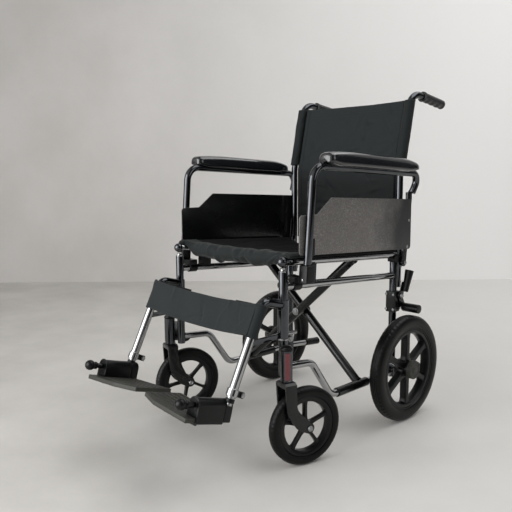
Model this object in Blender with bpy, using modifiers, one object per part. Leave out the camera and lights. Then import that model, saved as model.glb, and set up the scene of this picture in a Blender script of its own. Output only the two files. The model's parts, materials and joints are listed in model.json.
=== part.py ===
"""Folding transit wheelchair with spoked 12 inch rear wheels and 8 inch casters.

Two welded side frames are joined by a scissor brace that carries the seat rails.
X runs to the sitter's left, Y to the back and Z up. In the driving sizes below, Y is
counted from the rear axle and Z from the floor, all in metres.
"""

from math import asin, atan2, ceil, cos, hypot, pi, radians, sin, sqrt, tan

import bmesh
import bpy
from mathutils import Matrix, Vector

# General clearances
TOUCH = 0.0003            # between two pieces that rest against each other
TURN = 0.0005             # radial, between a pin or tube and what turns or slides on it
SIDES = 12                # sides of a round tube
BEND_STEP = radians(20)   # turn between two rings of a bent tube

# Side frame
FRAME_X = 0.2056          # plane of a side frame's tubes
FRONT_POST_Y = -0.449
FRONT_POST_D = 0.0216
FRONT_POST_TOP = 0.478
REAR_POST_Y = 0.010
REAR_POST_D = 0.022
REAR_POST_TOP = 0.455
RAIL_D = 0.019            # upper rail, lower rail and tipping lever
UPPER_RAIL_FRONT_Z = 0.4429
UPPER_RAIL_DROP = 0.0282  # from the front post to the rear post
LOWER_RAIL_Z = 0.126      # level stretch that the brace turns on
LOWER_RAIL_RISE = 0.1165  # from there up to the front post
LOWER_RAIL_KNEE_Y = -0.339
LOWER_RAIL_FOOT_Y = -0.252
LOWER_RAIL_SAG = 0.0095   # from the front post to the knee
RAIL_BEND = 0.040
LEVER_LENGTH = 0.140      # tipping lever behind the rear post
LEVER_DROP = 0.0125
RUBBER_LENGTH = 0.070
RUBBER_WALL = 0.0025
RUBBER_END = 0.006

# Rear wheels
WHEEL_R = 0.1525
WHEEL_X = 0.259           # centre plane
WHEEL_STEPS = 28
TYRE_WIDTH = 0.0388
RIM_R = 0.118
RIM_WIDTH = 0.031
RIM_DEPTH = 0.018         # radial depth of the rim ring
SPOKES = 6
SPOKE_WIDTH = 0.017
SPOKE_DEPTH = 0.022
HUB_R = 0.0235
HUB_WIDTH = 0.042
AXLE_R = 0.006
AXLE_HEAD_R = 0.0095
AXLE_HEAD = 0.006
BOSS_R = 0.0145
CAP_R = 0.0265
CAP_DEPTH = 0.0145        # from the hub's face to the cap's face
CAP_WALL = 0.0025

# Front casters
CASTER_R = 0.0985
CASTER_STEPS = 22
CASTER_WIDTH = 0.0284
CASTER_TYRE_DEPTH = 0.0225
CASTER_RING_DEPTH = 0.0155
CASTER_RING_WIDTH = 0.022
CASTER_SPOKES = 5
CASTER_SPOKE_WIDTH = 0.0085
CASTER_SPOKE_DEPTH = 0.013
CASTER_HUB_R = 0.0150
CASTER_HUB_WIDTH = 0.034
CASTER_AXLE_R = 0.004
CASTER_BOLT_R = 0.0072
CASTER_BOLT_HEAD = 0.0048
CASTER_TRAIL = 0.052
CASTER_TURN = radians(15.2)    # both casters stand swivelled by this
CASTER_SPIN = {1: 0.0, -1: radians(25)}   # turn of the spokes, near and far
STEM_OUT = 0.0294         # stem axis beyond the side frame's plane
STEM_AHEAD = 0.019        # stem axis in front of the front post
STEM_R = 0.006
STEM_LENGTH = 0.060
HOUSING_D = 0.030
HOUSING_LENGTH = 0.0762
HOUSING_CAP = 0.010
WEB_THICKNESS = 0.008
CROWN_GAP = 0.008         # from the caster's tread up to the fork crown
CROWN_THICKNESS = 0.0145
CROWN_LENGTH = 0.031
BLADE_THICKNESS = 0.0065
BLADE_GAP = 0.0045        # from the tyre's side to the blade

# Back canes and grips
CANE_D = 0.020
CANE_FOOT_Z = 0.3785
CANE_LEAN_Z = 0.720       # height where the cane starts to lean back
CANE_LEAN = radians(12.5)
CANE_TOP_Z = 0.938
CANE_BEND = 0.045
GRIP_SLOPE = radians(8.8)
GRIP_START = 0.057        # from the cane's corner along the grip
GRIP_LENGTH = 0.110
GRIP_D = 0.0275
GRIP_WALL_END = 0.004
GRIP_RIDGES = 4
GRIP_RIDGE = 0.0028
GRIP_TAPER = 0.0025       # rounding of the grip's ends

# Armrests
ARM_X = 0.2425            # plane of the armrest tube
ARM_D = 0.020
ARM_BEND = 0.040
ARM_FOOT = (-0.4055, 0.4645)       # (Y, Z) of the front leg's foot
ARM_FRONT_TOP = (-0.3838, 0.7275)
ARM_REAR_TOP = (0.0755, 0.7050)
ARM_REAR_END = (0.0520, 0.6520)
ARM_REAR_BEND = 0.026
ARM_PIVOT_Z = 0.452
ARM_PIN_R = 0.004
ARM_PIN_HEAD_R = 0.0065
ARM_PIN_HEAD = 0.004
BAR_THICKNESS = 0.0080
BAR_WIDTH = 0.022
PANEL_THICKNESS = 0.004
PANEL_TOP_Z = 0.651
PANEL_STEP_Z = 0.612
PANEL_FRONT_Y = -0.420
PANEL_STEP_Y = -0.355
PANEL_SHOULDER_Y = -0.302
PANEL_REAR_Y = 0.054
PANEL_REAR_TOP_Z = 0.634
PANEL_FRONT_FOOT_Z = 0.516
PANEL_REAR_FOOT_Z = 0.4905
PANEL_CORNER = 0.010
PAD_OUT = 0.0085          # pad centre beyond the tube's plane
PAD_FRONT_Y = -0.362
PAD_REAR_Y = 0.061
PAD_HALF_WIDTH = 0.0235
PAD_HEIGHT = 0.0225
SOCKET_WALL = 0.003
SOCKET_LENGTH = 0.030
SOCKET_HEIGHT = 0.030
SOCKET_SIDE_GAP = 0.0010

# Seat rails and scissor brace
SEAT_RAIL_D = 0.020
SEAT_RAIL_FRONT_Y = -0.451
SEAT_RAIL_REAR_Y = 0.0165
SEAT_RAIL_FRONT_Z = 0.5019
SEAT_RAIL_DROP = 0.0270
RAIL_CAP_R = 0.0125
SADDLE_LENGTH = 0.030
SADDLE_WIDTH = 0.024
SADDLE_WRAP = 0.0035      # how far a saddle's cheeks rise beside a rail
FRONT_SADDLE_Y = -0.357
REAR_SADDLE_Y = -0.045
BRACE_Y = -0.158          # between the two brace tubes
BRACE_D = 0.0245
BRACE_SHORT = 0.006       # brace tube's end before the seat rail's axis
BRACE_SPACER = 0.0025     # between the two brace tubes at the bolt
BRACE_SLEEVE_D = 0.0250
SLEEVE_LENGTH = 0.088
SLEEVE_LAP = 0.0005       # how far a sleeve reaches past its brace tube
BRACE_BOLT_R = 0.005
BRACE_BOLT_HEAD_R = 0.009
BRACE_BOLT_HEAD = 0.005

# Brakes
CLAMP_RISE = 0.0040       # clamp's foot above the tyre's top
CLAMP_HEIGHT = 0.061
CLAMP_WIDTH = 0.031
CLAMP_DEPTH = 0.033
CLAMP_PLATE = 0.004
CLAMP_PLATE_DEPTH = 0.034
BRAKE_PIVOT_Y = 0.0156
BRAKE_PIVOT_Z = 0.3574
BRAKE_PIN_R = 0.004
BRAKE_PIN_HEAD_R = 0.0075
BRAKE_PIN_HEAD = 0.004
SHOE_PLATE = 0.0035
SHOE_Y = 0.035
SHOE_Z = 0.3205
SHOE_D = 0.024
SHOE_LENGTH = 0.052
BRAKE_LEVER_PLATE = 0.0035
BRAKE_LEVER_LENGTH = 0.076
BRAKE_LEVER_TILT = radians(18.7)
BRAKE_LEVER_D = 0.023
BRAKE_SLEEVE_START = 0.0135

# Legrests
LEG_X = 0.204             # plane of the legrest's tubes
HANGER_D = 0.0268
HANGER_FOOT_Z = 0.316
HANGER_HEIGHT = 0.094
LEG_TUBE_D = 0.0222
LEG_TILT = radians(26.4)
LEG_TOP = (-0.5155, 0.4155)        # (Y, Z) of the elbow's corner
LEG_ELBOW = 0.024
LEG_TUBE_FOOT_Z = 0.2085
LEG_BAR_THICKNESS = 0.007
LEG_BAR_HEIGHT = 0.013
STOP_RING = 0.004         # stop ring under the hanger, thickness
INNER_TUBE_D = 0.0166
INNER_TUBE_IN = 0.122     # inner tube's length inside the down-tube
LEG_CLAMP_D = 0.0285
LEG_CLAMP_HEIGHT = 0.017
LEG_CLAMP_UP = 0.004      # from the down-tube's end to the clamp
LEG_CLAMP_EAR = 0.030     # bolt's distance from the tube's axis
FLIP_X = 0.193            # axis that the footplate turns on
FLIP_SLOPE = radians(16)
BALL_Y = -0.7505
BALL_Z = 0.2256
BALL_R = 0.0130
ROD_D = 0.0130
BARREL_START = 0.037      # along the flip axis, from the ball's centre
BARREL_LENGTH = 0.0700
BARREL_HALF = 0.0165
BARREL_FOOT = 0.0370      # barrel's foot below the flip axis
FLANGE = 0.0035
FLANGE_LIP = 0.0022
ELBOW_LENGTH = 0.031
ELBOW_HALF = 0.0160
PLATE_CAMBER = radians(3.8)
PLATE_DROP = 0.0258       # plate's top below the flip axis at its root
PLATE_THICKNESS = 0.0105
PLATE_HALF_GAP = 0.0208   # from the chair's middle to a plate's inner edge
PLATE_CHAMFER = 0.0065
PLATE_FRONT = 0.0100      # along the flip axis, from the ball's centre
PLATE_INNER_FRONT = 0.0310
PLATE_CORNER_X = 0.105    # where the front edge starts to slant, from the flip axis
PLATE_REAR = 0.1390
PLATE_OUTER_REAR = 0.1060
RIBS = 6
RIB_WIDTH = 0.0030
RIB_HEIGHT = 0.0010

# Cloth
SEAT_CLOTH = 0.0024
SEAT_FRONT_IN = 0.022     # front hem behind the rail's front end
SEAT_REAR_IN = 0.018
SEAT_SAG = 0.036
SEAT_DROOP = 0.006        # more sag at the front hem
SEAT_FOLD = 0.0030
SEAT_EASE = 0.0006        # between the rail and the cloth
SEAT_WRAP = radians(75)   # how far the cloth goes down the outside of a rail
SEAT_WRAP_PART = 0.125    # share of the sheet's columns that lie on one rail
BACK_CLOTH = 0.0035
BACK_SLEEVE_D = 0.0320
BACK_SLEEVE_FOOT_Z = 0.7355
BACK_TOP_Z = 0.915
BACK_FOOT_Z = 0.500
BACK_SAG = 0.020
STRAP_CLOTH = 0.0030
STRAP_HEIGHT = 0.0700
STRAP_LOOP_D = 0.0300
STRAP_TOP = 0.0175         # along the down-tube, from its elbow's corner
STRAP_BULGE = 0.006

# Worked out from the sizes above
REAR_POST_FOOT = LOWER_RAIL_Z - RAIL_D / 2 - 0.003
LOWER_RAIL_FRONT_Z = LOWER_RAIL_Z + LOWER_RAIL_RISE
CROWN_Z = 2 * CASTER_R + CROWN_GAP
HOUSING_Z = CROWN_Z + CROWN_THICKNESS + TOUCH
FRONT_POST_FOOT = HOUSING_Z + 0.0025
STEM_X = FRAME_X + STEM_OUT
STEM_Y = FRONT_POST_Y - STEM_AHEAD
CANE_Y = REAR_POST_Y + (REAR_POST_D + CANE_D) / 2 + TOUCH
BRACE_RISE = SEAT_RAIL_FRONT_Z - SEAT_RAIL_DROP * (BRACE_Y - SEAT_RAIL_FRONT_Y) / (
    SEAT_RAIL_REAR_Y - SEAT_RAIL_FRONT_Y) - LOWER_RAIL_Z
BRACE_CENTRE_Z = LOWER_RAIL_Z + BRACE_RISE / 2
BRACE_STEP = (BRACE_D + BRACE_SPACER) / 2   # brace tube's plane, from BRACE_Y
PANEL_OUT = ARM_X - ARM_D / 2 - TOUCH
PANEL_IN = PANEL_OUT - PANEL_THICKNESS
BAR_OUT = PANEL_IN - TOUCH
BAR_IN = BAR_OUT - BAR_THICKNESS
FRONT_Y = BALL_Y - BALL_R
GRIP_END = GRIP_START + GRIP_LENGTH
CANE_CORNER_Y = CANE_Y + (CANE_TOP_Z - CANE_LEAN_Z) * tan(CANE_LEAN)
REAR_Y = CANE_CORNER_Y + GRIP_END * cos(GRIP_SLOPE) + (GRIP_D / 2 - GRIP_TAPER) * sin(GRIP_SLOPE)
CENTRE_Y = -(FRONT_Y + REAR_Y) / 2          # moves the chair's middle over the origin

COLOURS = {
    "gunmetal": ("#54565a", 0.22, 1.0),
    "chrome": ("#c9cacb", 0.12, 1.0),
    "black_enamel": ("#17181a", 0.35, 0.6),
    "steel": ("#b4b5b6", 0.30, 1.0),
    "black_plastic": ("#1b1c1e", 0.50, 0.0),
    "grey_plastic": ("#4d4c48", 0.60, 0.0),
    "panel_plastic": ("#2b2a2a", 0.65, 0.0),
    "rubber": ("#1c1c1c", 0.75, 0.0),
    "pad_vinyl": ("#161719", 0.30, 0.0),
    "slate_cloth": ("#33383a", 0.85, 0.0),
    "black_cloth": ("#1d2123", 0.85, 0.0),
    "strap_cloth": ("#454b4c", 0.85, 0.0),
}


def linear(channel):
    """One sRGB channel, 0 to 1, as linear light."""
    if channel <= 0.04045:
        return channel / 12.92
    return ((channel + 0.055) / 1.055) ** 2.4


def paint(name):
    """The Principled material of that name, made on first use."""
    found = bpy.data.materials.get(name)
    if found:
        return found
    colour, roughness, metallic = COLOURS[name]
    material = bpy.data.materials.new(name)
    material.use_nodes = True
    shader = material.node_tree.nodes["Principled BSDF"]
    rgb = [linear(int(colour[i:i + 2], 16) / 255) for i in (1, 3, 5)]
    shader.inputs["Base Color"].default_value = (*rgb, 1.0)
    shader.inputs["Roughness"].default_value = roughness
    shader.inputs["Metallic"].default_value = metallic
    return material


def spot(x, y, z):
    """A place as a vector."""
    return Vector((x, y, z))


# Shapes. Each function returns an object whose mesh holds chair coordinates.

def settled(obj):
    """The object with its modifiers or curve turned into one welded mesh."""
    bpy.context.scene.collection.objects.link(obj)
    graph = bpy.context.evaluated_depsgraph_get()
    mesh = bpy.data.meshes.new_from_object(obj.evaluated_get(graph))
    solid = bmesh.new()
    solid.from_mesh(mesh)
    bmesh.ops.remove_doubles(solid, verts=solid.verts, dist=1e-6)
    bmesh.ops.recalc_face_normals(solid, faces=solid.faces)
    solid.to_mesh(mesh)
    solid.free()
    mesh.transform(obj.matrix_world)
    name = obj.name
    bpy.data.objects.remove(obj)
    return bpy.data.objects.new(name, mesh)


def from_bmesh(name, solid):
    """A new object that holds the bmesh."""
    mesh = bpy.data.meshes.new(name)
    solid.to_mesh(mesh)
    solid.free()
    return bpy.data.objects.new(name, mesh)


def tube(name, path, diameter, sides=SIDES):
    """A round tube or rod along a list of places, with closed ends."""
    curve = bpy.data.curves.new(name, "CURVE")
    curve.dimensions = "3D"
    curve.bevel_depth = diameter / 2
    curve.bevel_resolution = (sides - 4) // 2
    curve.use_fill_caps = True
    spline = curve.splines.new("POLY")
    spline.points.add(len(path) - 1)
    for point, place in zip(spline.points, path):
        point.co = (*place, 1.0)
    return settled(bpy.data.objects.new(name, curve))


def rod(name, start, end, radius, sides=SIDES, end_radius=None, turn=0.0):
    """A cylinder, cone or prism between two places."""
    start = Vector(start)
    span = Vector(end) - start
    aim = Vector((0, 0, 1)).rotation_difference(span).to_matrix().to_4x4()
    seat = Matrix.Translation(start + span / 2) @ aim @ Matrix.Rotation(turn, 4, "Z")
    solid = bmesh.new()
    bmesh.ops.create_cone(
        solid, cap_ends=True, segments=sides, radius1=radius,
        radius2=radius if end_radius is None else end_radius, depth=span.length, matrix=seat)
    return from_bmesh(name, solid)


def block(name, low, high, frame=None):
    """A box between two opposite corners, in the chair's frame or in a turned one."""
    low = Vector(low)
    high = Vector(high)
    size = high - low
    seat = Matrix.Translation((low + high) / 2) @ Matrix.Diagonal((*size, 1.0))
    solid = bmesh.new()
    bmesh.ops.create_cube(solid, size=1.0, matrix=(frame or Matrix()) @ seat)
    bmesh.ops.recalc_face_normals(solid, faces=solid.faces)
    return from_bmesh(name, solid)


def ball(name, centre, radius, turns=12, rings=8):
    """A sphere."""
    solid = bmesh.new()
    bmesh.ops.create_uvsphere(
        solid, u_segments=turns, v_segments=rings, radius=radius, matrix=Matrix.Translation(centre))
    return from_bmesh(name, solid)


def plate(name, outline, thickness, frame):
    """A flat outline, extruded evenly to both sides of its plane, then set in a frame."""
    curve = bpy.data.curves.new(name, "CURVE")
    curve.dimensions = "2D"
    curve.fill_mode = "BOTH"
    curve.extrude = thickness / 2
    spline = curve.splines.new("POLY")
    spline.points.add(len(outline) - 1)
    for point, place in zip(spline.points, outline):
        point.co = (place[0], place[1], 0.0, 1.0)
    spline.use_cyclic_u = True
    flat = bpy.data.objects.new(name, curve)
    flat.matrix_world = frame
    return settled(flat)


def side_plane(x):
    """Frame whose X and Y are the chair's Y and Z, standing at the given X."""
    return Matrix(((0, 0, 1, x), (1, 0, 0, 0), (0, 1, 0, 0), (0, 0, 0, 1)))


def turned(name, profile, steps, frame, closed=False):
    """A profile of (radius, height) places turned about the frame's Z axis.

    The profile runs down its outer side. A closed one comes back up its inner side.
    """
    half = pi / steps
    solid = bmesh.new()
    places = [solid.verts.new((radius * cos(half), radius * sin(half), height))
              for radius, height in profile]
    for start, end in zip(places, places[1:]):
        solid.edges.new((start, end))
    if closed:
        solid.edges.new((places[-1], places[0]))
    shape = from_bmesh(name, solid)
    screw = shape.modifiers.new("turn", "SCREW")
    screw.steps = steps
    screw.render_steps = steps
    screw.use_merge_vertices = True
    screw.merge_threshold = 1e-5
    shape.matrix_world = frame
    return settled(shape)


def loft(name, rings):
    """A closed skin over rings of equally many places, with flat ends."""
    solid = bmesh.new()
    rows = [[solid.verts.new(place) for place in ring] for ring in rings]
    for low, high in zip(rows, rows[1:]):
        for i in range(len(low)):
            j = (i + 1) % len(low)
            solid.faces.new((low[i], low[j], high[j], high[i]))
    solid.faces.new(rows[0])
    solid.faces.new(rows[-1])
    bmesh.ops.recalc_face_normals(solid, faces=solid.faces)
    return from_bmesh(name, solid)


def combine(operation, target, tools):
    """The target after a Boolean with each of the tools, which are used up."""
    name = target.name
    for tool in tools:
        bpy.context.scene.collection.objects.link(tool)
        step = target.modifiers.new(tool.name, "BOOLEAN")
        step.operation = operation
        step.solver = "EXACT"
        step.object = tool
    result = settled(target)
    for tool in tools:
        bpy.data.objects.remove(tool)
    result.name = name
    return result


def joined(target, *tools):
    """The tools welded to the target."""
    return combine("UNION", target, tools)


def bored(target, *tools):
    """The target with the tools cut out of it."""
    return combine("DIFFERENCE", target, tools)


def rounded(points, radius, step=BEND_STEP):
    """The points with an arc in place of each inner corner."""
    points = [Vector(point) for point in points]
    path = [points[0]]
    for before, corner, after in zip(points, points[1:], points[2:]):
        path += corner_arc(before, corner, after, radius, step)
    return path + [points[-1]]


def rounded_outline(points, radius, step=BEND_STEP):
    """A closed outline with an arc in place of each corner."""
    points = [spot(*point, 0) for point in points]
    path = []
    for i, corner in enumerate(points):
        after = points[(i + 1) % len(points)]
        path += corner_arc(points[i - 1], corner, after, radius, step)
    return path


def corner_arc(before, corner, after, radius, step):
    """Places on the arc that rounds one corner."""
    back = (before - corner).normalized()
    onward = (after - corner).normalized()
    half = back.angle(onward) / 2
    reach = radius / tan(half)
    centre = corner + (back + onward).normalized() * radius / sin(half)
    start = corner + back * reach - centre
    end = corner + onward * reach - centre
    axis = start.cross(end).normalized()
    turn = pi - 2 * half
    steps = max(2, ceil(turn / step))
    return [centre + Matrix.Rotation(turn * i / steps, 3, axis) @ start for i in range(steps + 1)]


def fitted(radius, gap, sides=SIDES):
    """Radius of a many-sided bore whose flats clear a pin of the radius by the gap."""
    return (radius + gap) / cos(pi / sides)


# Places that several pieces share

def upper_rail_z(y):
    """Height of the upper rail's axis."""
    return UPPER_RAIL_FRONT_Z - UPPER_RAIL_DROP * (y - FRONT_POST_Y) / (REAR_POST_Y - FRONT_POST_Y)


def seat_rail_z(y):
    """Height of the seat rail's axis."""
    along = (y - SEAT_RAIL_FRONT_Y) / (SEAT_RAIL_REAR_Y - SEAT_RAIL_FRONT_Y)
    return SEAT_RAIL_FRONT_Z - SEAT_RAIL_DROP * along


def cane_path(side):
    """Centre line of the back cane, from its foot to inside the grip."""
    x = side * FRAME_X
    inside = GRIP_END - GRIP_WALL_END - TOUCH
    corners = [
        spot(x, CANE_Y, CANE_FOOT_Z),
        spot(x, CANE_Y, CANE_LEAN_Z),
        cane_corner(side),
        cane_corner(side) + grip_direction() * inside,
    ]
    return rounded(corners, CANE_BEND)


def cane_corner(side):
    """Where the leaning cane and the grip's axis meet."""
    return spot(side * FRAME_X, CANE_CORNER_Y, CANE_TOP_Z)


def grip_direction():
    """Direction of the grip's axis, to the back."""
    return spot(0, cos(GRIP_SLOPE), -sin(GRIP_SLOPE))


def lever_path(side):
    """The tipping lever, from the rear post to its end inside the rubber."""
    x = side * FRAME_X
    start = spot(x, REAR_POST_Y, LOWER_RAIL_Z)
    end = spot(x, REAR_POST_Y + LEVER_LENGTH, LOWER_RAIL_Z - LEVER_DROP)
    return start, end


def leg_direction():
    """Direction of the legrest's down-tube, downwards."""
    return spot(0, -sin(LEG_TILT), -cos(LEG_TILT))


def leg_foot(side):
    """The down-tube's lower end, on its axis."""
    top = spot(side * LEG_X, *LEG_TOP)
    return top + leg_direction() * (LEG_TOP[1] - LEG_TUBE_FOOT_Z) / cos(LEG_TILT)


def flip_frame(side):
    """Frame of the footplate's axis: its Y runs down to the back, from the ball's centre."""
    return Matrix.Translation((side * FLIP_X, BALL_Y, BALL_Z)) @ Matrix.Rotation(-FLIP_SLOPE, 4, "X")


def leg_frame(side):
    """Frame of the down-tube: its Z runs up the tube from the tube's lower end."""
    return Matrix.Translation(leg_foot(side)) @ Matrix.Rotation(-LEG_TILT, 4, "X")


def wheel_frame(side, x=0.0):
    """Frame of a rear wheel: its Z runs outwards from the wheel's centre plane."""
    return Matrix.Translation((side * (WHEEL_X + x), 0, WHEEL_R)) @ Matrix.Rotation(side * pi / 2, 4, "Y")


def caster_frame(side):
    """Frame of a swivelled caster: on the stem's axis at floor height, Y along the trail."""
    return Matrix.Translation((side * STEM_X, STEM_Y, 0)) @ Matrix.Rotation(-CASTER_TURN, 4, "Z")


# Side frame

def side_frame(name, side):
    """Posts, rails, tipping lever and caster housing, welded into one frame."""
    x = side * FRAME_X
    post = rod(name, (x, FRONT_POST_Y, FRONT_POST_FOOT), (x, FRONT_POST_Y, FRONT_POST_TOP), FRONT_POST_D / 2)
    plug_r = FRONT_POST_D / 2 - 0.0035
    ball_z = seat_rail_z(SEAT_RAIL_FRONT_Y)
    plug_top = ball_z - RAIL_CAP_R - 0.0015
    plug = rod("plug", (x, FRONT_POST_Y, FRONT_POST_TOP - 0.004), (x, FRONT_POST_Y, plug_top), plug_r)
    ring_z = HANGER_FOOT_Z - TOUCH
    ring = rod("ring", (x, FRONT_POST_Y, ring_z - STOP_RING), (x, FRONT_POST_Y, ring_z), HANGER_D / 2)
    rear = rod("rear", (x, REAR_POST_Y, REAR_POST_FOOT), (x, REAR_POST_Y, REAR_POST_TOP), REAR_POST_D / 2)
    upper = tube("upper", [
        spot(x, FRONT_POST_Y, upper_rail_z(FRONT_POST_Y)),
        spot(x, REAR_POST_Y, upper_rail_z(REAR_POST_Y))], RAIL_D)
    lever_start, lever_end = lever_path(side)
    lower = tube("lower", rounded([
        spot(x, FRONT_POST_Y, LOWER_RAIL_FRONT_Z),
        spot(x, LOWER_RAIL_KNEE_Y, LOWER_RAIL_FRONT_Z - LOWER_RAIL_SAG),
        spot(x, LOWER_RAIL_FOOT_Y, LOWER_RAIL_Z),
        lever_start], RAIL_BEND) + [lever_end], RAIL_D)
    return bored(
        joined(post, plug, ring, rear, upper, lower, axle_boss(side), *caster_housing(side)),
        rod("axle_hole", (0, 0, WHEEL_R), (side * WHEEL_X, 0, WHEEL_R), AXLE_R + TOUCH),
        stem_hole(side))


def boss_end():
    """Outer face of the axle boss."""
    return WHEEL_X - HUB_WIDTH / 2 - 0.0008


def boss_start():
    """Inner face of the axle boss."""
    return FRAME_X - REAR_POST_D / 2 - 0.0015


def axle_boss(side):
    """Boss through the rear post that holds the axle."""
    return rod("boss", (side * boss_start(), 0, WHEEL_R), (side * boss_end(), 0, WHEEL_R), BOSS_R, 16)


def caster_housing(side):
    """Stem housing with its cap, and the web that joins it to the front post."""
    x = side * STEM_X
    top = HOUSING_Z + HOUSING_LENGTH
    shell = rod("housing", (x, STEM_Y, HOUSING_Z), (x, STEM_Y, top), HOUSING_D / 2, 16)
    lid = rod("lid", (x, STEM_Y, top - 0.001), (x, STEM_Y, top + HOUSING_CAP), HOUSING_D / 2 + 0.0012, 16,
              HOUSING_D / 2 - 0.002)
    away = spot(side * STEM_OUT, -STEM_AHEAD, 0)
    aim = Matrix.Rotation(atan2(away.y, away.x), 4, "Z")
    web = block(
        "web", (0, -WEB_THICKNESS / 2, HOUSING_Z + 0.010),
        (away.length, WEB_THICKNESS / 2, top - 0.010),
        Matrix.Translation((side * FRAME_X, FRONT_POST_Y, 0)) @ aim)
    return shell, lid, web


def stem_hole(side):
    """Blind hole for the fork's stem."""
    x = side * STEM_X
    depth = STEM_LENGTH + 0.001
    return rod("stem_hole", (x, STEM_Y, HOUSING_Z - 0.005), (x, STEM_Y, HOUSING_Z + depth),
               fitted(STEM_R, TURN))


def back_cane(name, side):
    """Back tube with the pivot pin of the armrest."""
    x = side * FRAME_X
    pin_end = side * (BAR_OUT + TOUCH)
    head_end = pin_end + side * ARM_PIN_HEAD
    pin = rod("pin", (x, CANE_Y, ARM_PIVOT_Z), (pin_end + side * 0.001, CANE_Y, ARM_PIVOT_Z), ARM_PIN_R)
    head = rod("head", (pin_end, CANE_Y, ARM_PIVOT_Z), (head_end, CANE_Y, ARM_PIVOT_Z), ARM_PIN_HEAD_R, 6)
    return joined(tube(name, cane_path(side), CANE_D), pin, head)


def hand_grip(name, side):
    """Push grip with finger ridges below and a collar in front."""
    along = grip_direction()
    across = spot(1, 0, 0)
    up = across.cross(along)
    start = cane_corner(side) + along * GRIP_START
    rings = []
    stations = GRIP_RIDGES * 3
    for i in range(stations + 1):
        part = i / stations
        taper = GRIP_TAPER if i in (0, stations) else 0.0
        wave = GRIP_RIDGE * (0.5 - 0.5 * cos(2 * pi * GRIP_RIDGES * part))
        ring = []
        for k in range(SIDES):
            angle = 2 * pi * k / SIDES
            radius = GRIP_D / 2 - taper - wave * max(0.0, -sin(angle))
            ring.append(start + along * GRIP_LENGTH * part + (across * cos(angle) + up * sin(angle)) * radius)
        rings.append(ring)
    corners = cane_path(side)
    hole = tube("hole", corners[-3:], CANE_D + 2 * TOUCH)
    return bored(loft(name, rings), hole)


def tipping_rubber(name, side):
    """Rubber sleeve on the tipping lever."""
    start, end = lever_path(side)
    along = (end - start).normalized()
    tip = end + along * RUBBER_END
    outer = tube(name, [tip - along * RUBBER_LENGTH, tip], RAIL_D + 2 * RUBBER_WALL)
    return bored(outer, tube("hole", [tip - along * (RUBBER_LENGTH + 0.01), end + along * TOUCH],
                             RAIL_D + 2 * TOUCH))


def saddle(name, side, y):
    """Plastic rest between the upper rail and the seat rail, cut to both."""
    x = side * FRAME_X
    low = upper_rail_z(y) + RAIL_D / 2 - SADDLE_WRAP
    high = seat_rail_z(y) - SEAT_RAIL_D / 2 + SADDLE_WRAP
    half = SADDLE_WIDTH / 2
    body = block(name, (x - half, y - SADDLE_LENGTH / 2, low), (x + half, y + SADDLE_LENGTH / 2, high))
    reach = SADDLE_LENGTH
    lower = tube("lower", [spot(x, y - reach, upper_rail_z(y - reach)),
                           spot(x, y + reach, upper_rail_z(y + reach))], RAIL_D + 2 * TOUCH)
    upper = tube("upper", [spot(x, y - reach, seat_rail_z(y - reach)),
                           spot(x, y + reach, seat_rail_z(y + reach))], SEAT_RAIL_D + 2 * TOUCH)
    return bored(body, lower, upper)


def arm_socket(name, side):
    """Cradle on the upper rail that the armrest's front leg drops into."""
    y = ARM_FOOT[0]
    start = y - SOCKET_LENGTH / 2
    end = y + SOCKET_LENGTH / 2
    lean = (ARM_FRONT_TOP[0] - ARM_FOOT[0]) / (ARM_FRONT_TOP[1] - ARM_FOOT[1])
    foot = ARM_FOOT[1] - ARM_D / 2 * lean - TOUCH
    base = upper_rail_z(start) + RAIL_D / 2 + TOUCH
    rail_in = FRAME_X - SADDLE_WIDTH / 2
    inner = ARM_X - ARM_D / 2 - SOCKET_SIDE_GAP
    outer = ARM_X + ARM_D / 2 + SOCKET_SIDE_GAP
    pieces = []
    for near, far, top in ((rail_in, outer + SOCKET_WALL, foot),
                           (inner - SOCKET_WALL, inner, foot + SOCKET_HEIGHT),
                           (outer, outer + SOCKET_WALL, foot + SOCKET_HEIGHT)):
        low = (min(side * near, side * far), start, base)
        high = (max(side * near, side * far), end, top)
        pieces.append(block(name, low, high))
    return joined(*pieces)


# Rear wheels

def rear_tyre(name, side):
    """Tyre with a flat tread and round shoulders."""
    tread = WHEEL_R / cos(pi / WHEEL_STEPS)
    seat = RIM_R + TOUCH
    half = TYRE_WIDTH / 2
    depth = WHEEL_R - RIM_R
    outer = [(tread, 0.42 * half), (tread - 0.12 * depth, 0.84 * half), (tread - 0.55 * depth, half),
             (seat, 0.86 * half)]
    profile = [(seat, 0.86 * half)] + outer[2::-1] + [(r, -z) for r, z in outer]
    return turned(name, profile, WHEEL_STEPS, wheel_frame(side), closed=True)


def spoke(frame, start, end, width, depth, angle):
    """One spoke, a little narrower at its outer end."""
    turn = frame @ Matrix.Rotation(angle, 4, "Z")
    half = width / 2
    slim = 0.85 * half
    rings = []
    for reach, wide in ((start, half), (end, slim)):
        rings.append([turn @ spot(reach, wide * a, depth / 2 * b)
                      for a, b in ((1, 1), (-1, 1), (-1, -1), (1, -1))])
    return loft("spoke", rings)


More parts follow.
